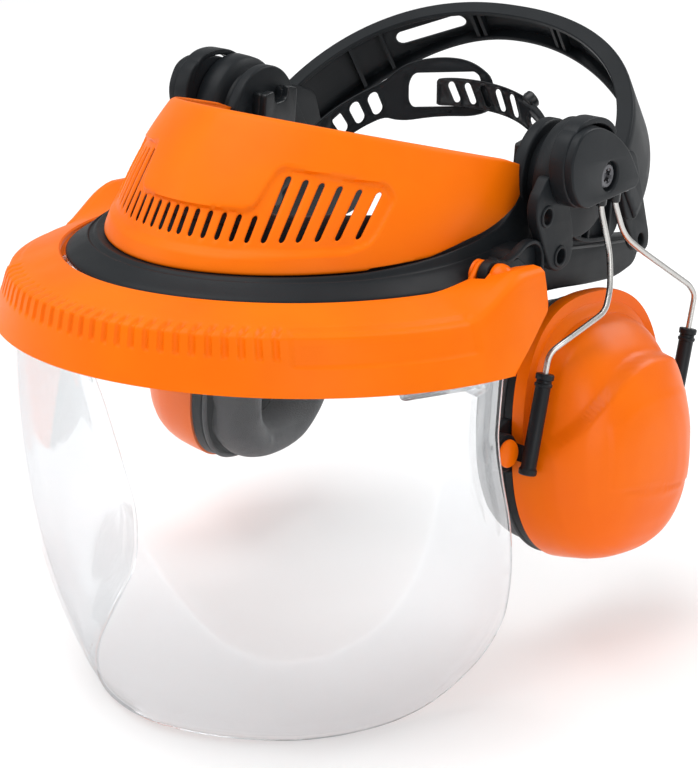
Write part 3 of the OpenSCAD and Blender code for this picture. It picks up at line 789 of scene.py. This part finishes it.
angles = [90.0]
while angles[-1] > -90.0:
    angles.append(angles[-1] - (0.3 if abs(angles[-1]) <= 41.5 else 0.75))
stations = all_round([t for t in angles if t > -90.01], (2, 4, 6, 8, 10, 12, 14, 16, 17.2, 17.4))
band = build("band_shell", *skin([band_trim(band_ring(t, b)) for t, b in stations]), ORANGE, sharp=48)
finish_piece(band, "visor", "visor_band")
gap = plate(rounded_2d([(-9.5, -16), (40, -16), (40, 30), (-9.5, 30)], 2.5, 4), [], 80.0, 91.2, 0.3)
gaps = join(*(([(x * k, y, z) for x, y, z in gap[0]], gap[1]) for k in (1, -1)))
cutter = build("band_cutter", *gaps, ORANGE, weld=0.004)
trim = band.modifiers.new("hinge_gap", "BOOLEAN")
trim.object = cutter
trim.operation = "DIFFERENCE"
trim.solver = "EXACT"
bpy.context.view_layer.update()
cut_mesh = evaluated(band)
band.modifiers.clear()
if len(cut_mesh.polygons) > 1000:
    band.data = cut_mesh
    band.data.set_sharp_from_angle(angle=math.radians(48))
bpy.data.objects.remove(cutter)

hinge_bore = circle_2d((0, 0), 3, 24)
knob = lathe([(80.9, 0.01), (80.9, 5.0), (81.3, 5.6), (82.1, 5.6), (82.5, 5.2), (82.5, 3.0), (89.7, 3.0),
    (89.8, 4.8), (90.4, 5.5), (92.2, 5.8), (94.2, 5.4), (96.0, 4.3), (97.2, 2.8), (97.8, 1.3),
    (97.9, 0.01)], (0, 0, 0), sides=48)
pair("hinge_knob", knob, ORANGE_CUP, "visor", "orange_shell", "visor_pin_{}", sharp=50)
lugs = plates((hull_2d([(0, -0.6, 5.2), (-8, -3.4, 3.4), (2, -4, 3.4)]), [hinge_bore], 89.9, 91.6, 0.7),
    (hull_2d([(0, 0, 5.6), (-7, -3.6, 2.6)]), [hinge_bore], 82.5, 84.7, 0.7),
    (hull_2d([(-8, -4.2, 2.2), (-16, -4.6, 1.4)]), [], 82.9, 92, 0.6))
pair("band_lugs", lugs, ORANGE, "visor", "orange_shell", weld=0.004)


# ---- visor sheet ----
def sheet_at(t, back, z, inset):
    drop = max(0.0, (-z - 30) / 175)
    a = 106 - (0.3 * (z + 30) if z > -30 else 49 * drop ** 3.95) - inset
    d = 132 - 60 * drop ** 1.7 - inset
    return (*on_loop(a, d, 1.84, t, back), z)


SHEET_T = np.linspace(0, 90, 181)
SHEET_S = lengths_along([sheet_at(t, 0, -60, 0) for t in SHEET_T])


def sheet_uw(u, w, inset):
    s = abs(u)
    if s <= SHEET_S[-1]:
        x, y, z = sheet_at(float(np.interp(s, SHEET_S, SHEET_T)), 0, w, inset)
    else:
        x, y, z = sheet_at(90, s - SHEET_S[-1], w, inset)
    return (x if u >= 0 else -x, y, z)


def sheet_edge(y, z):
    """Arc position of the point of the sheet at depth y and height z."""
    drop = max(0.0, (-z - 30) / 175)
    d = 132 - 60 * drop ** 1.7
    if y > LOOP_Y:
        return (SHEET_S[-1] + y - LOOP_Y, z)
    c = ((LOOP_Y - y) / (d + LOOP_Y)) ** (1.84 / 2)
    return (float(np.interp(math.degrees(math.acos(min(1, c))), SHEET_T, SHEET_S)), z)


edge = [(-13, -23), (-13, -50), (-12.2, -60), (-7, -76), (2, -95), (9.5, -115), (14.6, -133), (16.2, -142),
    (15.0, -152), (9, -164), (-4, -173.5), (-22, -180.5), (-42, -184.2), (-58, -186)]
half = [(0.0, -23.0)] + [sheet_edge(y, z) for y, z in edge] + [(0.0, -187.6)]
half_curve = [half[0]] + [tuple(p) for p in catmull(half[1:-1], 5)] + [half[-1]]
sheet_outline = [(-p[0], p[1]) for p in half_curve[1:-1]][::-1] + half_curve[1:-1]


def sheet_relief(us, ws):
    """A shallow moulded bead that runs just inside the free edge."""
    d = distance(sheet_outline, us, ws)
    return -0.35 * np.exp(-((d - 9.0) / 2.4) ** 2) * np.clip((-35 - ws) / 10, 0, 1)


shape = region(sheet_outline, [], 2.0, sheet_uw, sheet_relief, lip=0.0, ring=1.2)
clear = build("sheet_skin", *shape, [CLEAR, CLEAR_EDGE], solid=1.6, sharp=60)
clear.modifiers["wall"].material_offset_rim = 1
finish_piece(clear, "visor", "visor_sheet")

tab, tab_faces = plates((rounded_2d([(-62, -33), (-20, -31.5), (-13, -33), (-12, -40.5), (-20, -42),
    (-26, -38.5), (-60, -37)], 1.4, 4), [slot_2d((-50, -35), (-30, -34.6), 1.6)], 97.4, 99.2, 0.4),
    (rounded_2d([(-24, -35), (-15, -36), (-15, -39.6), (-24, -38.6)], 0.8, 4), [], 94.0, 98.0, 0.4))
tab = [(x - 0.16 * max(0, -18 - y), y, z) for x, y, z in tab]
pair("latch", (tab, tab_faces), CLEAR_TAB, "visor", "clear_sheet", "visor_latch_{}", weld=0.004)

# ---- rear hoop ----
HOOP_SEAT = Vector((0, 85, 8.5))
HOOP_TURN = Matrix.Rotation(math.radians(39.6), 3, "X")
HOOP_A, HOOP_B, HOOP_N = 90.4, 94.7, 2.27


def hoop_2d(s, inset):
    """A point of the arch at angle s from the left foot, inset mm inside it."""
    t = math.radians(s)
    return ((HOOP_A - inset) * spow(math.cos(t), 2 / HOOP_N),
        (HOOP_B - inset) * abs(math.sin(t)) ** (2 / HOOP_N))


HOOP_T = np.linspace(0, 180, 361)
HOOP_S = lengths_along([hoop_2d(t, 0) for t in HOOP_T])
HOOP_MID = HOOP_S[180]


def hoop_at(u, w, inset):
    """u runs from the top of the arch towards the left foot in mm, w across the strip."""
    x, y = hoop_2d(float(np.interp(HOOP_MID - u, HOOP_S, HOOP_T)), inset)
    return tuple(HOOP_SEAT + HOOP_TURN @ Vector((x, y, w)))


foot = HOOP_MID - 17


def hoop_crown(u):
    return math.exp(-(u / 66) ** 2)


def hoop_low(u):
    """Rear edge of the strip, drawn in over the crown."""
    return -16.0 + 16.0 * hoop_crown(u)


def hoop_high(u):
    """Front edge of the strip."""
    return 16.0 + 1.2 * hoop_crown(u)


top = list(np.linspace(-foot, foot, 60))
hoop_outline = [(u, hoop_low(u)) for u in top] + [(u, hoop_high(u)) for u in reversed(top)]
slots = [slot_2d((s * 30, 6.6), (s * 64, 2.6), 7.0, 8) for s in (-1, 1)]
shape = region(hoop_outline, slots, 3.0, hoop_at, None, lip=0.8, ring=1.2)
piece("hoop_skin", shape, BLACK, "rear_hoop_body", "black_frame", "rear_hoop", solid=2.4, sharp=55)


def hoop_bar(us, low, high, near, far):
    """A bar along the arch between two widths and two depths; low and high may vary with u."""
    rings = []
    for u in us:
        a, b = low(u), high(u)
        c = 0.45
        rings.append([hoop_at(u, a + c, near), hoop_at(u, b - c, near), hoop_at(u, b, near + c),
            hoop_at(u, b, far - c), hoop_at(u, b - c, far), hoop_at(u, a + c, far), hoop_at(u, a, far - c),
            hoop_at(u, a, near + c)])
    return skin(rings)


line = list(np.linspace(-foot + 7, foot - 7, 90))
parts = [hoop_bar(line, lambda u: hoop_high(u) - 2.4, hoop_high, 0.6, 7.2),
    hoop_bar(line, hoop_low, lambda u: hoop_low(u) + 2.0, 0.6, 6.4)]
for s in (-1, 1):
    for u in (20, 24, 70, 86):
        parts.append(hoop_bar([s * u - 0.9, s * u + 0.9], lambda v: hoop_low(v) + 1,
            lambda v: hoop_high(v) - 1, 1.5, 5.6))
piece("hoop_ribs", join(*parts), BLACK, "rear_hoop_body", "black_frame", sharp=35)

rear_ear = rounded_2d([(98, 30), (108, 34), (116, 18), (125.5, -1.5), (125.8, -7.6), (119.5, -9.4),
    (114.5, -6.6), (100, 12)], [3, 4, 6, 5, 5, 5, 5, 4])
ear_slots = [slot_2d((107.5, 13.6), (111.2, 8.2), 4.0), slot_2d((117.2, -0.6), (120.2, -5.6), 4.2)]
block = rounded_2d([(88.5, 33), (92, 37), (104, 38), (116, 14), (110, 6.6), (102, 8)], [2, 3, 6, 5, 3, 3])
shape = plates((hull_2d([(*HUB, 17.5), (97, 29, 9), (106, 14, 7)]), [], 75.6, 79.4, 0.6),
    (rear_ear, ear_slots, 82.6, 87.0, 0.7), (block, [], 78.6, 88.4, 0.9))
pair("hoop_foot", shape, BLACK, "rear_hoop_body", "black_frame", "hoop_side_{}", weld=0.004)

# ---- nape strap ----
NAPE_SEAT = Vector((0, 61, -4))
NAPE_TURN = Matrix.Rotation(math.radians(39.4), 3, "X")


def nape_2d(t, inset):
    return ((66 - inset) * spow(math.sin(math.radians(t)), 2 / 2.3),
        (80 - inset) * abs(math.cos(math.radians(t))) ** (2 / 2.3))


NAPE_UP = Vector((0, -0.10, 1.0))
NAPE_T = np.linspace(0, 90, 181)
NAPE_S = lengths_along([nape_2d(t, 0) for t in NAPE_T])


def nape_at(base):
    def place(u, w, inset):
        x, y = nape_2d(float(np.interp(abs(u), NAPE_S, NAPE_T)), base + inset)
        spot = NAPE_SEAT + NAPE_TURN @ Vector((math.copysign(x, u), y, 0))
        across = (NAPE_TURN @ Vector((0, 0, 1))).lerp(NAPE_UP, smooth((100 - abs(u)) / 62)).normalized()
        return tuple(spot + across * w)

    return place


def strip(points):
    """Outline of a strap from [u, lowest, highest] stations."""
    low = catmull([(u, a) for u, a, _ in points], 6)
    high = catmull([(u, b) for u, _, b in points], 6)
    return [tuple(p) for p in low] + [tuple(p) for p in reversed(high)]


end = NAPE_S[-1] - 2
tongue = strip([(-22, -5.2, 5.2), (-19, -6.2, 6.2), (0, -6.4, 6.4), (22, -6.4, 6.4), (40, -7, 7), (70, -8, 8),
    (end, -6, 6)])
holes = [slot_2d((u + 2.2, -4.4), (u - 2.2, 4.4), 3.3, 6) for u in (-13, -4.5, 4, 12.5, 21)]
holes.append(slot_2d((33, -1.2), (41, -1.2), 3.2, 6))
shape = region(tongue, holes, 1.5, nape_at(3.0), None, 0.35, 0.5)
piece("nape_tongue", shape, BLACK_SMOOTH, "nape_strap", "black_frame", "nape_strap_left", solid=2.2, sharp=45)
peg_centre = Vector(nape_at(3.0)(30.5, 5.4, 0))
peg_axis = (Vector(nape_at(0.0)(30.5, 5.4, 0)) - peg_centre).normalized()
shape = join(lathe([(-1, 3.4), (0.2, 3.8), (2.4, 3.8), (3.0, 3.2), (3.1, 0.01)], peg_centre, peg_axis,
    sides=24), lathe([(-1, 1.6), (1.4, 1.8), (1.9, 1.4), (2.0, 0.01)], Vector(nape_at(3.0)(46, 3.4, 0)),
    peg_axis, sides=20))
piece("nape_peg", shape, BLACK_SMOOTH, "nape_strap", "black_frame", sharp=40)
buckle_half = strip([(-end, -6, 6), (-80, -8.5, 8.5), (-56, -8.2, 8.2), (-47, -8.6, 8.6), (-41, -11.4, 11.4),
    (-33, -13.2, 13.2), (-16, -13.2, 13.2), (-5, -12.2, 11.6), (3.5, -8.8, 7.6), (6, -4.6, 3.6)])
window = rounded_2d([(-33.5, -7.6), (-3, -7.6), (-0.5, -5), (-0.5, 5), (-3, 7.6), (-33.5, 7.6), (-35.5, 4),
    (-35.5, -4)], 2, 4)
holes = [window] + [slot_2d((1.8 - u, -5.2), (-1.8 - u, 5.2), 4.8, 8) for u in (51.5, 60.5, 69.5)]
shape = region(buckle_half, holes, 1.7, nape_at(0.0), None, 0.5, 0.8)
piece("nape_buckle", shape, BLACK, "nape_strap", "black_frame", "nape_strap_right", solid=2.6, sharp=45)

# ---- hub caps, arms and sleeves ----
SCREW_AT = (62.0, 33.4)
STAR_TURN = math.radians(14)
CAP = rounded_2d([(46.1, 22.2), (84.4, 26.1), (86.8, 29.6), (81.2, 36.6), (75.3, 43.0), (68.0, 47.8),
    (60.2, 51.6), (50.8, 54.4), (42.0, 54.2), (35.2, 51.2), (30.8, 42.0), (33.6, 31.4), (39.6, 24.6)],
    [2.5, 2.5, 3, 5, 5, 5, 5, 5, 6, 6, 6, 6, 4], 5)
front_mid, rear_mid = Vector((94, 34.1, -65.1)), Vector((106.5, 128.7, -60.4))
LEG = Vector((0, math.sin(math.radians(10)), math.cos(math.radians(10))))
front_path = [(95.0, 66.6, 27), (95.2, 66.8, 19.5), (98.6, 72.0, 0.5), (102.6, 68.2, -13.5),
    (104.2, 62.6, -21.5), (97.4, 44.6, -32.0), front_mid + 29 * LEG, front_mid - 9 * LEG]
rear_path = [(95.0, 77.4, 27), (95.2, 77.6, 20.5), (97.2, 84.6, 5.6), (99.6, 95.0, -1.4),
    (105.2, 131.6, -21.4), rear_mid + 35 * LEG, rear_mid - 9 * LEG]


def rounded_path(path, bend):
    pts = [Vector(p) for p in path]
    out = [pts[0]]
    for i in range(1, len(pts) - 1):
        k = min(bend[i], (pts[i - 1] - pts[i]).length * 0.48, (pts[i + 1] - pts[i]).length * 0.48)
        p = pts[i] + (pts[i - 1] - pts[i]).normalized() * k
        q = pts[i] + (pts[i + 1] - pts[i]).normalized() * k
        for j in range(8):
            u = j / 7
            out.append(p * (1 - u) ** 2 + pts[i] * 2 * u * (1 - u) + q * u * u)
    return out + [pts[-1]]


FRONT_PIN, REAR_PIN = -57, 55
WIRE_RADIUS = 1.25
CUP_AT = Matrix.Translation((88.3, 82.3, -76.5)) @ Matrix.Rotation(math.radians(-7), 4, "Z") \
    @ Matrix.Rotation(math.radians(-6), 4, "Y")


def at_cup(shape):
    return [tuple(CUP_AT @ Vector(p)) for p in shape[0]], shape[1]


def sleeve(mid, pin_y):
    """A ribbed tube on the wire, an arm, and the ring that snaps on the cup's ball."""
    body = lathe([(-20.7, 1.4), (-20.7, 3.2), (-20.3, 3.7), (-18.4, 3.75), (-17.8, 3.3), (-17.4, 3.15),
        (15.2, 3.15), (15.6, 3.6), (16.6, 3.7), (17.0, 3.2), (18.0, 3.1), (18.4, 3.7), (20.2, 3.8),
        (20.7, 3.4), (20.7, 1.4)], mid, LEG, sides=40)
    toward = math.copysign(1, pin_y)
    ring = at_cup(lathe([(0.4, 5.25), (0.4, 7.3), (0.9, 7.8), (4.6, 7.8), (5.2, 7.3), (5.2, 5.25),
        (0.4, 5.25)], (0, pin_y, -1), sides=56))
    socket = at_cup(lathe([(4.4, 5.9), (5.6, 5.9), (5.9, 5.5), (5.9, 5.2), (5.4, 5.1), (4.4, 5.1),
        (4.4, 5.9)], (0, pin_y, -1), sides=56))
    a = CUP_AT @ Vector((2.6, pin_y - toward * 6.0, -1.2))
    b = mid - LEG * 9.5
    c = mid - LEG * 16.5
    side = (b - a).normalized()
    arm = []
    for u in np.linspace(0, 1, 6):
        p, q = a + Vector((0, 0, 3.4)), a - Vector((0, 0, 3.4))
        top_p, low_p = p.lerp(b, u), q.lerp(c, u)
        x = Vector((1.9, 0, 0))
        arm.append([top_p + x, low_p + x, low_p - x, top_p - x])
    return join(body, ring, socket, skin(arm))


arch = catmull([(35.4, 44.5), (37.4, 49.6), (42.2, 54.4), (50.4, 56.2), (58.8, 55.4), (65.4, 52.8),
    (69.4, 49.2)], 6)
shape = plates((grown(CAP, 0.5), [], 90.5, 97.6, 0.8),
    (CAP, [circle_2d(SCREW_AT, 6.0, 48)], 96.8, 101.2, 1.0),
    (circle_2d(SCREW_AT, 6.6, 48), [circle_2d(SCREW_AT, 5.4, 40)], 97.0, 98.8, 0.3),
    (ribbon(arch, 2.6), [], 90.4, 97.8, 0.6))
pair("cap", shape, BLACK, "hub_{}", "black_frame", "hub_cap_{}", weld=0.004)
parts = [lathe([(96.2, 0.01), (96.2, 4.8), (98.6, 5.2), (99.5, 5.0), (99.9, 4.4), (99.9, 3.2), (99.2, 2.8),
    (98.4, 2.5), (98.2, 0.01)], (0, *SCREW_AT), sides=40)]
for y, z in circle_2d(SCREW_AT, 2.75, 6, STAR_TURN):
    parts.append(lathe([(98.3, 0.95), (99.6, 0.8), (99.75, 0.01)], (0, y, z), sides=12))
pair("screw", join(*parts), SCREW, "hub_{}", "screw_steel", "hub_screw_{}", sharp=30)
parts = [lathe([(-9.6, 0.01), (-9.6, 3.2), (-9.2, 3.6), (8.0, 3.6), (8.4, 3.2), (8.4, 0.01)],
    (95.5, 75.6, 27), (0, 1, 0), sides=40)]
for y in (66.8, 77.6):
    parts.append(lathe([(0, 2.5), (5.4, 2.4), (6.0, 2.0), (6.0, 1.2)], (95.2, y, 26.0), (0, 0, -1), sides=24))
pair("yoke", join(*parts), BLACK_SMOOTH, "arm_{}", "black_frame", "arm_yoke_{}")
for label, path, bends, mid, pin_y in (
        ("front", front_path, [0, 4, 6, 6, 3.6, 4.5, 4, 0], front_mid, FRONT_PIN),
        ("rear", rear_path, [0, 4, 8, 9, 3.4, 2.4, 0], rear_mid, REAR_PIN)):
    shape = tube(rounded_path(path, bends), WIRE_RADIUS, 18)
    pair(label + "_rod", shape, STEEL, "arm_{}", "steel_wire", label + "_wire_{}", sharp=50)
    pair(label + "_holder", sleeve(mid, pin_y), SLEEVE, "slider_{}", "black_frame", label + "_sleeve_{}",
        sharp=34)

# ---- ear cups ----
CUP_LEVELS = ((0.0, 1.0, -1.0), (0.10, 0.999, -1.2), (0.22, 0.985, -0.9), (0.36, 0.955, 0.2),
    (0.50, 0.91, 1.4), (0.63, 0.835, 3.5), (0.75, 0.745, 5.0), (0.85, 0.63, 6.3), (0.93, 0.48, 7.4),
    (0.98, 0.30, 8.1), (1.0, 0.12, 8.5), (1.002, 0.01, 8.6))
DEPTH, RIM_Y, RIM_Z = 38.6, 47.0, 56.0


def level_at(s):
    """Depth, size and drop at s from 0 (rim) to 1 (crown), smooth between the listed levels."""
    xs = np.linspace(0, 1, len(CUP_LEVELS))
    return [float(np.interp(s, xs, [lv[i] for lv in CUP_LEVELS])) for i in range(3)]


fine_levels = np.array([level_at(s) for s in np.linspace(0, 1, 71)])
for _ in range(3):
    fine_levels[1:-1] = (fine_levels[:-2] + 2 * fine_levels[1:-1] + fine_levels[2:]) / 4


def cup_surface(count=176):
    rings = []
    for depth, size, drop in fine_levels:
        ring = []
        for y, z in oval(1, 1, 2.5, count):
            cy, cz = y * RIM_Y * size, z * RIM_Z * size - drop
            x = depth * DEPTH
            # the crown's upper part is set back behind a shoulder that crosses the cup in an arch
            line_z = 33 - (20 * ((cy - 5) / 38) ** 2 if cy < 5 else 7 * ((cy - 5) / 36) ** 2)
            over = smooth((cz - line_z + 1.4) / 2.8)
            slope = smooth((x - 5.0) / 5.0)
            x -= over * slope * (3.6 + 0.06 * x)
            # the upper wall steps in behind a flange at the rim
            high = smooth((cz + 4) / 18) * smooth((depth - 0.155) / 0.03)
            pull = 1 - 0.12 * high * (1 - 0.6 * smooth((depth - 0.3) / 0.5))
            cy, cz = cy * pull, cz * pull
            # embossed field below the shoulder
            field = max(abs(cy - 4) - 30, abs(cz + 4) - (line_z - 14 + 4) * 0.62 - 7)
            x += 0.55 * smooth((1.0 - field) / 2.0) * smooth((x - 14) / 6)
            crease = abs(cz + 21 + 0.10 * cy)
            x -= 0.5 * smooth((1.3 - crease) / 1.3) * smooth((28 - abs(cy - 4)) / 6)
            ring.append((x, cy, cz))
        rings.append(ring)
    return rings


cup_rings = cup_surface()
inner = [[(2.4 + p[0] * 0.9, p[1] * 0.93, p[2] * 0.93) for p in ring] for ring in cup_rings[4::6]]
outer, faces = skin(cup_rings, cap=False)
faces.append(tuple(range(len(outer) - 1, len(outer) - len(cup_rings[0]) - 1, -1)))
lip = [[(x, p[1] * f, p[2] * f) for p in cup_rings[0]]
    for x, f in ((0, 1.0), (0, 0.985), (0, 0.93), (3, 0.93))]
shape = at_cup(join((outer, faces), skin(lip, cap=False), skin(inner, cap=False)))
pair("cup", shape, ORANGE_CUP, "muff_{}", "orange_shell", "ear_cup_{}", sharp=60, weld=0.01)
# base plate: rounded rim between cup and cushion, with an ear for each ball
rim = [[(x, y, z) for y, z in oval(a, b, 2.5, 120)] for x, a, b in ((-5.0, 43, 51), (-5.6, 44.8, 52.6),
    (-4.8, 46.0, 53.8), (-0.9, 46.3, 54.1), (-0.25, 45.6, 53.4), (-0.25, 30, 38), (-0.25, 27, 34.6),
    (-1.2, 26.2, 33.8), (-4.4, 26.2, 33.8), (-5.0, 27.4, 35))]
parts = [skin(rim + [rim[0]], cap=False)]
balls = []
for pin_y in (FRONT_PIN, REAR_PIN):
    near = pin_y - math.copysign(10, pin_y)
    parts.append(plate(hull_2d([(pin_y, -1, 6.0), (near, 6, 4), (near, -8, 4)]), [], -5.0, -1.0, 0.7))
    balls.append(lathe([(-0.9, 0.01), (-0.9, 3.2), (-0.5, 3.6), (0.4, 4.4), (1.6, 4.95), (2.8, 5.05),
        (4.2, 4.98), (5.3, 4.75), (5.95, 4.6), (6.0, 5.5), (6.5, 5.75), (7.1, 5.5), (7.4, 4.8), (7.5, 0.01)],
        (0, pin_y, -1), sides=48))
pair("plate", at_cup(join(*parts)), BLACK, "muff_{}", "black_frame", "cup_plate_{}", sharp=40, weld=0.004)
pair("balls", at_cup(join(*balls)), ORANGE_CUP, "muff_{}", "orange_shell", "cup_pins_{}", sharp=40)


# ---- soft pieces ----
def swell(obj, pressure, limit, voxel, frames=20):
    """Inflates a pad with cloth, caps how far a point may move (metres), and keeps the result."""
    mod = obj.modifiers.new("remesh", "REMESH")
    mod.mode = "VOXEL"
    mod.voxel_size = voxel
    mesh = evaluated(obj)
    mats = list(obj.data.materials)
    obj.modifiers.clear()
    obj.data = mesh
    start = [v.co.copy() for v in mesh.vertices]
    cloth = obj.modifiers.new("cloth", "CLOTH")
    cloth.settings.use_pressure = True
    cloth.settings.uniform_pressure_force = pressure
    cloth.settings.effector_weights.gravity = 0
    cloth.settings.tension_stiffness = 25
    cloth.settings.compression_stiffness = 25
    cloth.settings.bending_stiffness = 2.0
    for step in range(1, frames + 1):
        bpy.context.scene.frame_set(step)
    done = evaluated(obj)
    obj.modifiers.clear()
    bpy.context.scene.frame_set(1)
    for v, s in zip(done.vertices, start):
        move = v.co - s
        if move.length > limit:
            v.co = s + move.normalized() * limit
    obj.data = done
    obj.data.materials.clear()
    for m in mats:
        obj.data.materials.append(m)
    for p in obj.data.polygons:
        p.use_smooth = True
    return obj


def cushion_rings(grow):
    """A sealed ring cushion: section round the hole, fuller on the face that meets the head."""
    section = ((-7.0, 44.0, 52.0), (-13, 44.6, 52.6), (-19, 43.6, 51.6), (-24, 41.6, 49.6),
        (-27.4, 38.4, 46.4), (-28.6, 34.6, 42.6), (-27.4, 31.0, 39.0), (-24, 28.2, 36.2), (-19, 26.6, 34.6),
        (-13, 26.2, 34.2), (-7.0, 26.8, 34.8))
    return [[(x, y, z) for y, z in oval(a + grow, b + grow, 2.5, 88)] for x, a, b in section]


for name, k in SIDES:
    rings = cushion_rings(-0.8)
    pad = build(f"cushion_{name}", *at_cup(skin(rings + [rings[0]], cap=False)), VINYL, side=k, weld=0.01)
    swell(pad, 4.0, 0.0028, 0.0042)
    pad.modifiers.new("smooth", "SUBSURF").levels = 1
    pad.modifiers["smooth"].render_levels = 1
    finish_piece(pad, f"muff_{name}", f"ear_cushion_{name}")
    piping = [CUP_AT @ Vector((-6.6, y, z)) for y, z in oval(45.2, 53.2, 2.5, 120)]
    rings = []
    for i in range(120):
        run = (piping[(i + 1) % 120] - piping[i - 1]).normalized()
        u = run.cross(CUP_AT.to_3x3() @ Vector((1, 0, 0))).normalized()
        rings.append(circle_3d(piping[i], u, run.cross(u), 1.1, 8))
    finish_piece(build(f"piping_{name}", *skin(rings + [rings[0]], cap=False), VINYL, side=k, weld=0.01),
        f"muff_{name}")
    foam = []
    for x, grow in ((3.4, 0), (3.0, -1.2), (2.6, -4), (2.9, -12), (3.3, -20), (3.5, -30)):
        foam.append([(x + 0.25 * math.sin(y * 0.5) * math.cos(z * 0.45), y, z)
            for y, z in oval(35 + grow, 42 + grow * 1.1, 2.5, 80)])
    foam = [[(13.5, y, z) for y, z in oval(35, 42, 2.5, 80)]] + foam
    liner = build(f"liner_{name}", *at_cup(skin(foam)), FOAM, side=k)
    finish_piece(liner, f"muff_{name}", f"cup_foam_{name}")

band_rings = []
for i in range(97):
    t = 84 - 168 * i / 96
    pinch = 1.0 - 0.35 * (0.5 + 0.5 * math.cos(2 * math.pi * i / 12)) ** 6
    ring = []
    for da, z in ((63.0, 4), (63.2, 13), (63.0, 22), (61.6, 23.6), (59.6, 23.2), (57.8, 20), (57.2, 13),
            (57.8, 6), (59.6, 2.8), (61.6, 2.4)):
        a = 63.0 - (63.0 - da) * (pinch if da < 62 else 1)
        ring.append((loop_x(a - 0.05 * z, 1.95, t), loop_front(a + 20.6 - 0.38 * z, LOOP_Y, 1.95, t), z))
    band_rings.append(ring)
pad = build("sweatband", *skin(band_rings), PAD)
swell(pad, 3.0, 0.0012, 0.0024, 14)
finish_piece(pad, "frame", "forehead_pad")

# ---- carried-over CAD nodes ----
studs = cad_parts["visor_studs"]
studs.data.materials.clear()
studs.data.materials.append(BLACK_SMOOTH)


# ---- floor, light and camera ----
def light(name, kind, where, aim, power, size, size_y=None, colour=(1, 1, 1)):
    data = bpy.data.lights.new(name, kind)
    data.energy = power
    data.color = colour
    data.shape = "RECTANGLE" if size_y else "DISK"
    data.size = size
    if size_y:
        data.size_y = size_y
    obj = bpy.data.objects.new(name, data)
    obj.location = where
    obj.rotation_euler = (Vector(aim) - Vector(where)).to_track_quat("-Z", "Y").to_euler()
    bpy.context.scene.collection.objects.link(obj)
    return obj


low = min((TO_ROW @ Vector(sheet_at(0, 0, -187.6, 0)))[2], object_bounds()[0][2])
FLOOR_HALF, FLOOR_GAP = 9, 0.0006
floor_mesh = bpy.data.meshes.new("floor")
corners = ((-1, -1), (1, -1), (1, 1), (-1, 1))
floor_mesh.from_pydata([(x * FLOOR_HALF, y * FLOOR_HALF, low - FLOOR_GAP) for x, y in corners], [],
    [(0, 1, 2, 3)])
floor = bpy.data.objects.new("floor", floor_mesh)
bpy.context.scene.collection.objects.link(floor)
mat, tree, shader = nodes_of("floor_white")
white = colours(tree, noise(tree, 3, 2), (0.86, 0.865, 0.87), (0.89, 0.893, 0.895))
put(tree, shader, {"Base Color": white}, Roughness=0.65, Specular_IOR_Level=0.0,
    Emission_Color=(1, 1, 1, 1), Emission_Strength=0.16)
floor_mesh.materials.append(mat)

world = bpy.data.worlds.new("studio")
world.use_nodes = True
put(world.node_tree, world.node_tree.nodes["Background"], Color=(1, 1, 1, 1), Strength=0.50)
bpy.context.scene.world = world
light("top_box", "AREA", (-0.25, -0.35, 1.5), (0, 0, -0.05), 19, 1.5, 1.2)
light("key_left", "AREA", (-1.3, -1.1, 0.75), (0, 0, -0.05), 6.5, 0.9, 0.9)
light("fill_right", "AREA", (1.5, -0.7, 0.5), (0.05, 0.03, -0.05), 6.5, 0.8, 1.1)
light("rim_back", "AREA", (0.5, 1.4, 1.0), (0, 0.05, 0), 9, 1.0, 0.6)

camera_data = bpy.data.cameras.new("camera")
camera_data.sensor_fit = "HORIZONTAL"
camera_data.sensor_width = 36
camera_data.lens = 130.5
camera_data.clip_start = 0.01
camera = bpy.data.objects.new("camera", camera_data)
camera.location = (0.5830, -0.8025, 0.3132)
camera_aim = Vector((0.0356, -0.0505, -0.0515)) - camera.location
camera.rotation_euler = camera_aim.to_track_quat("-Z", "Y").to_euler()
bpy.context.scene.collection.objects.link(camera)
bpy.context.scene.camera = camera
bpy.context.scene.view_settings.view_transform = "Standard"
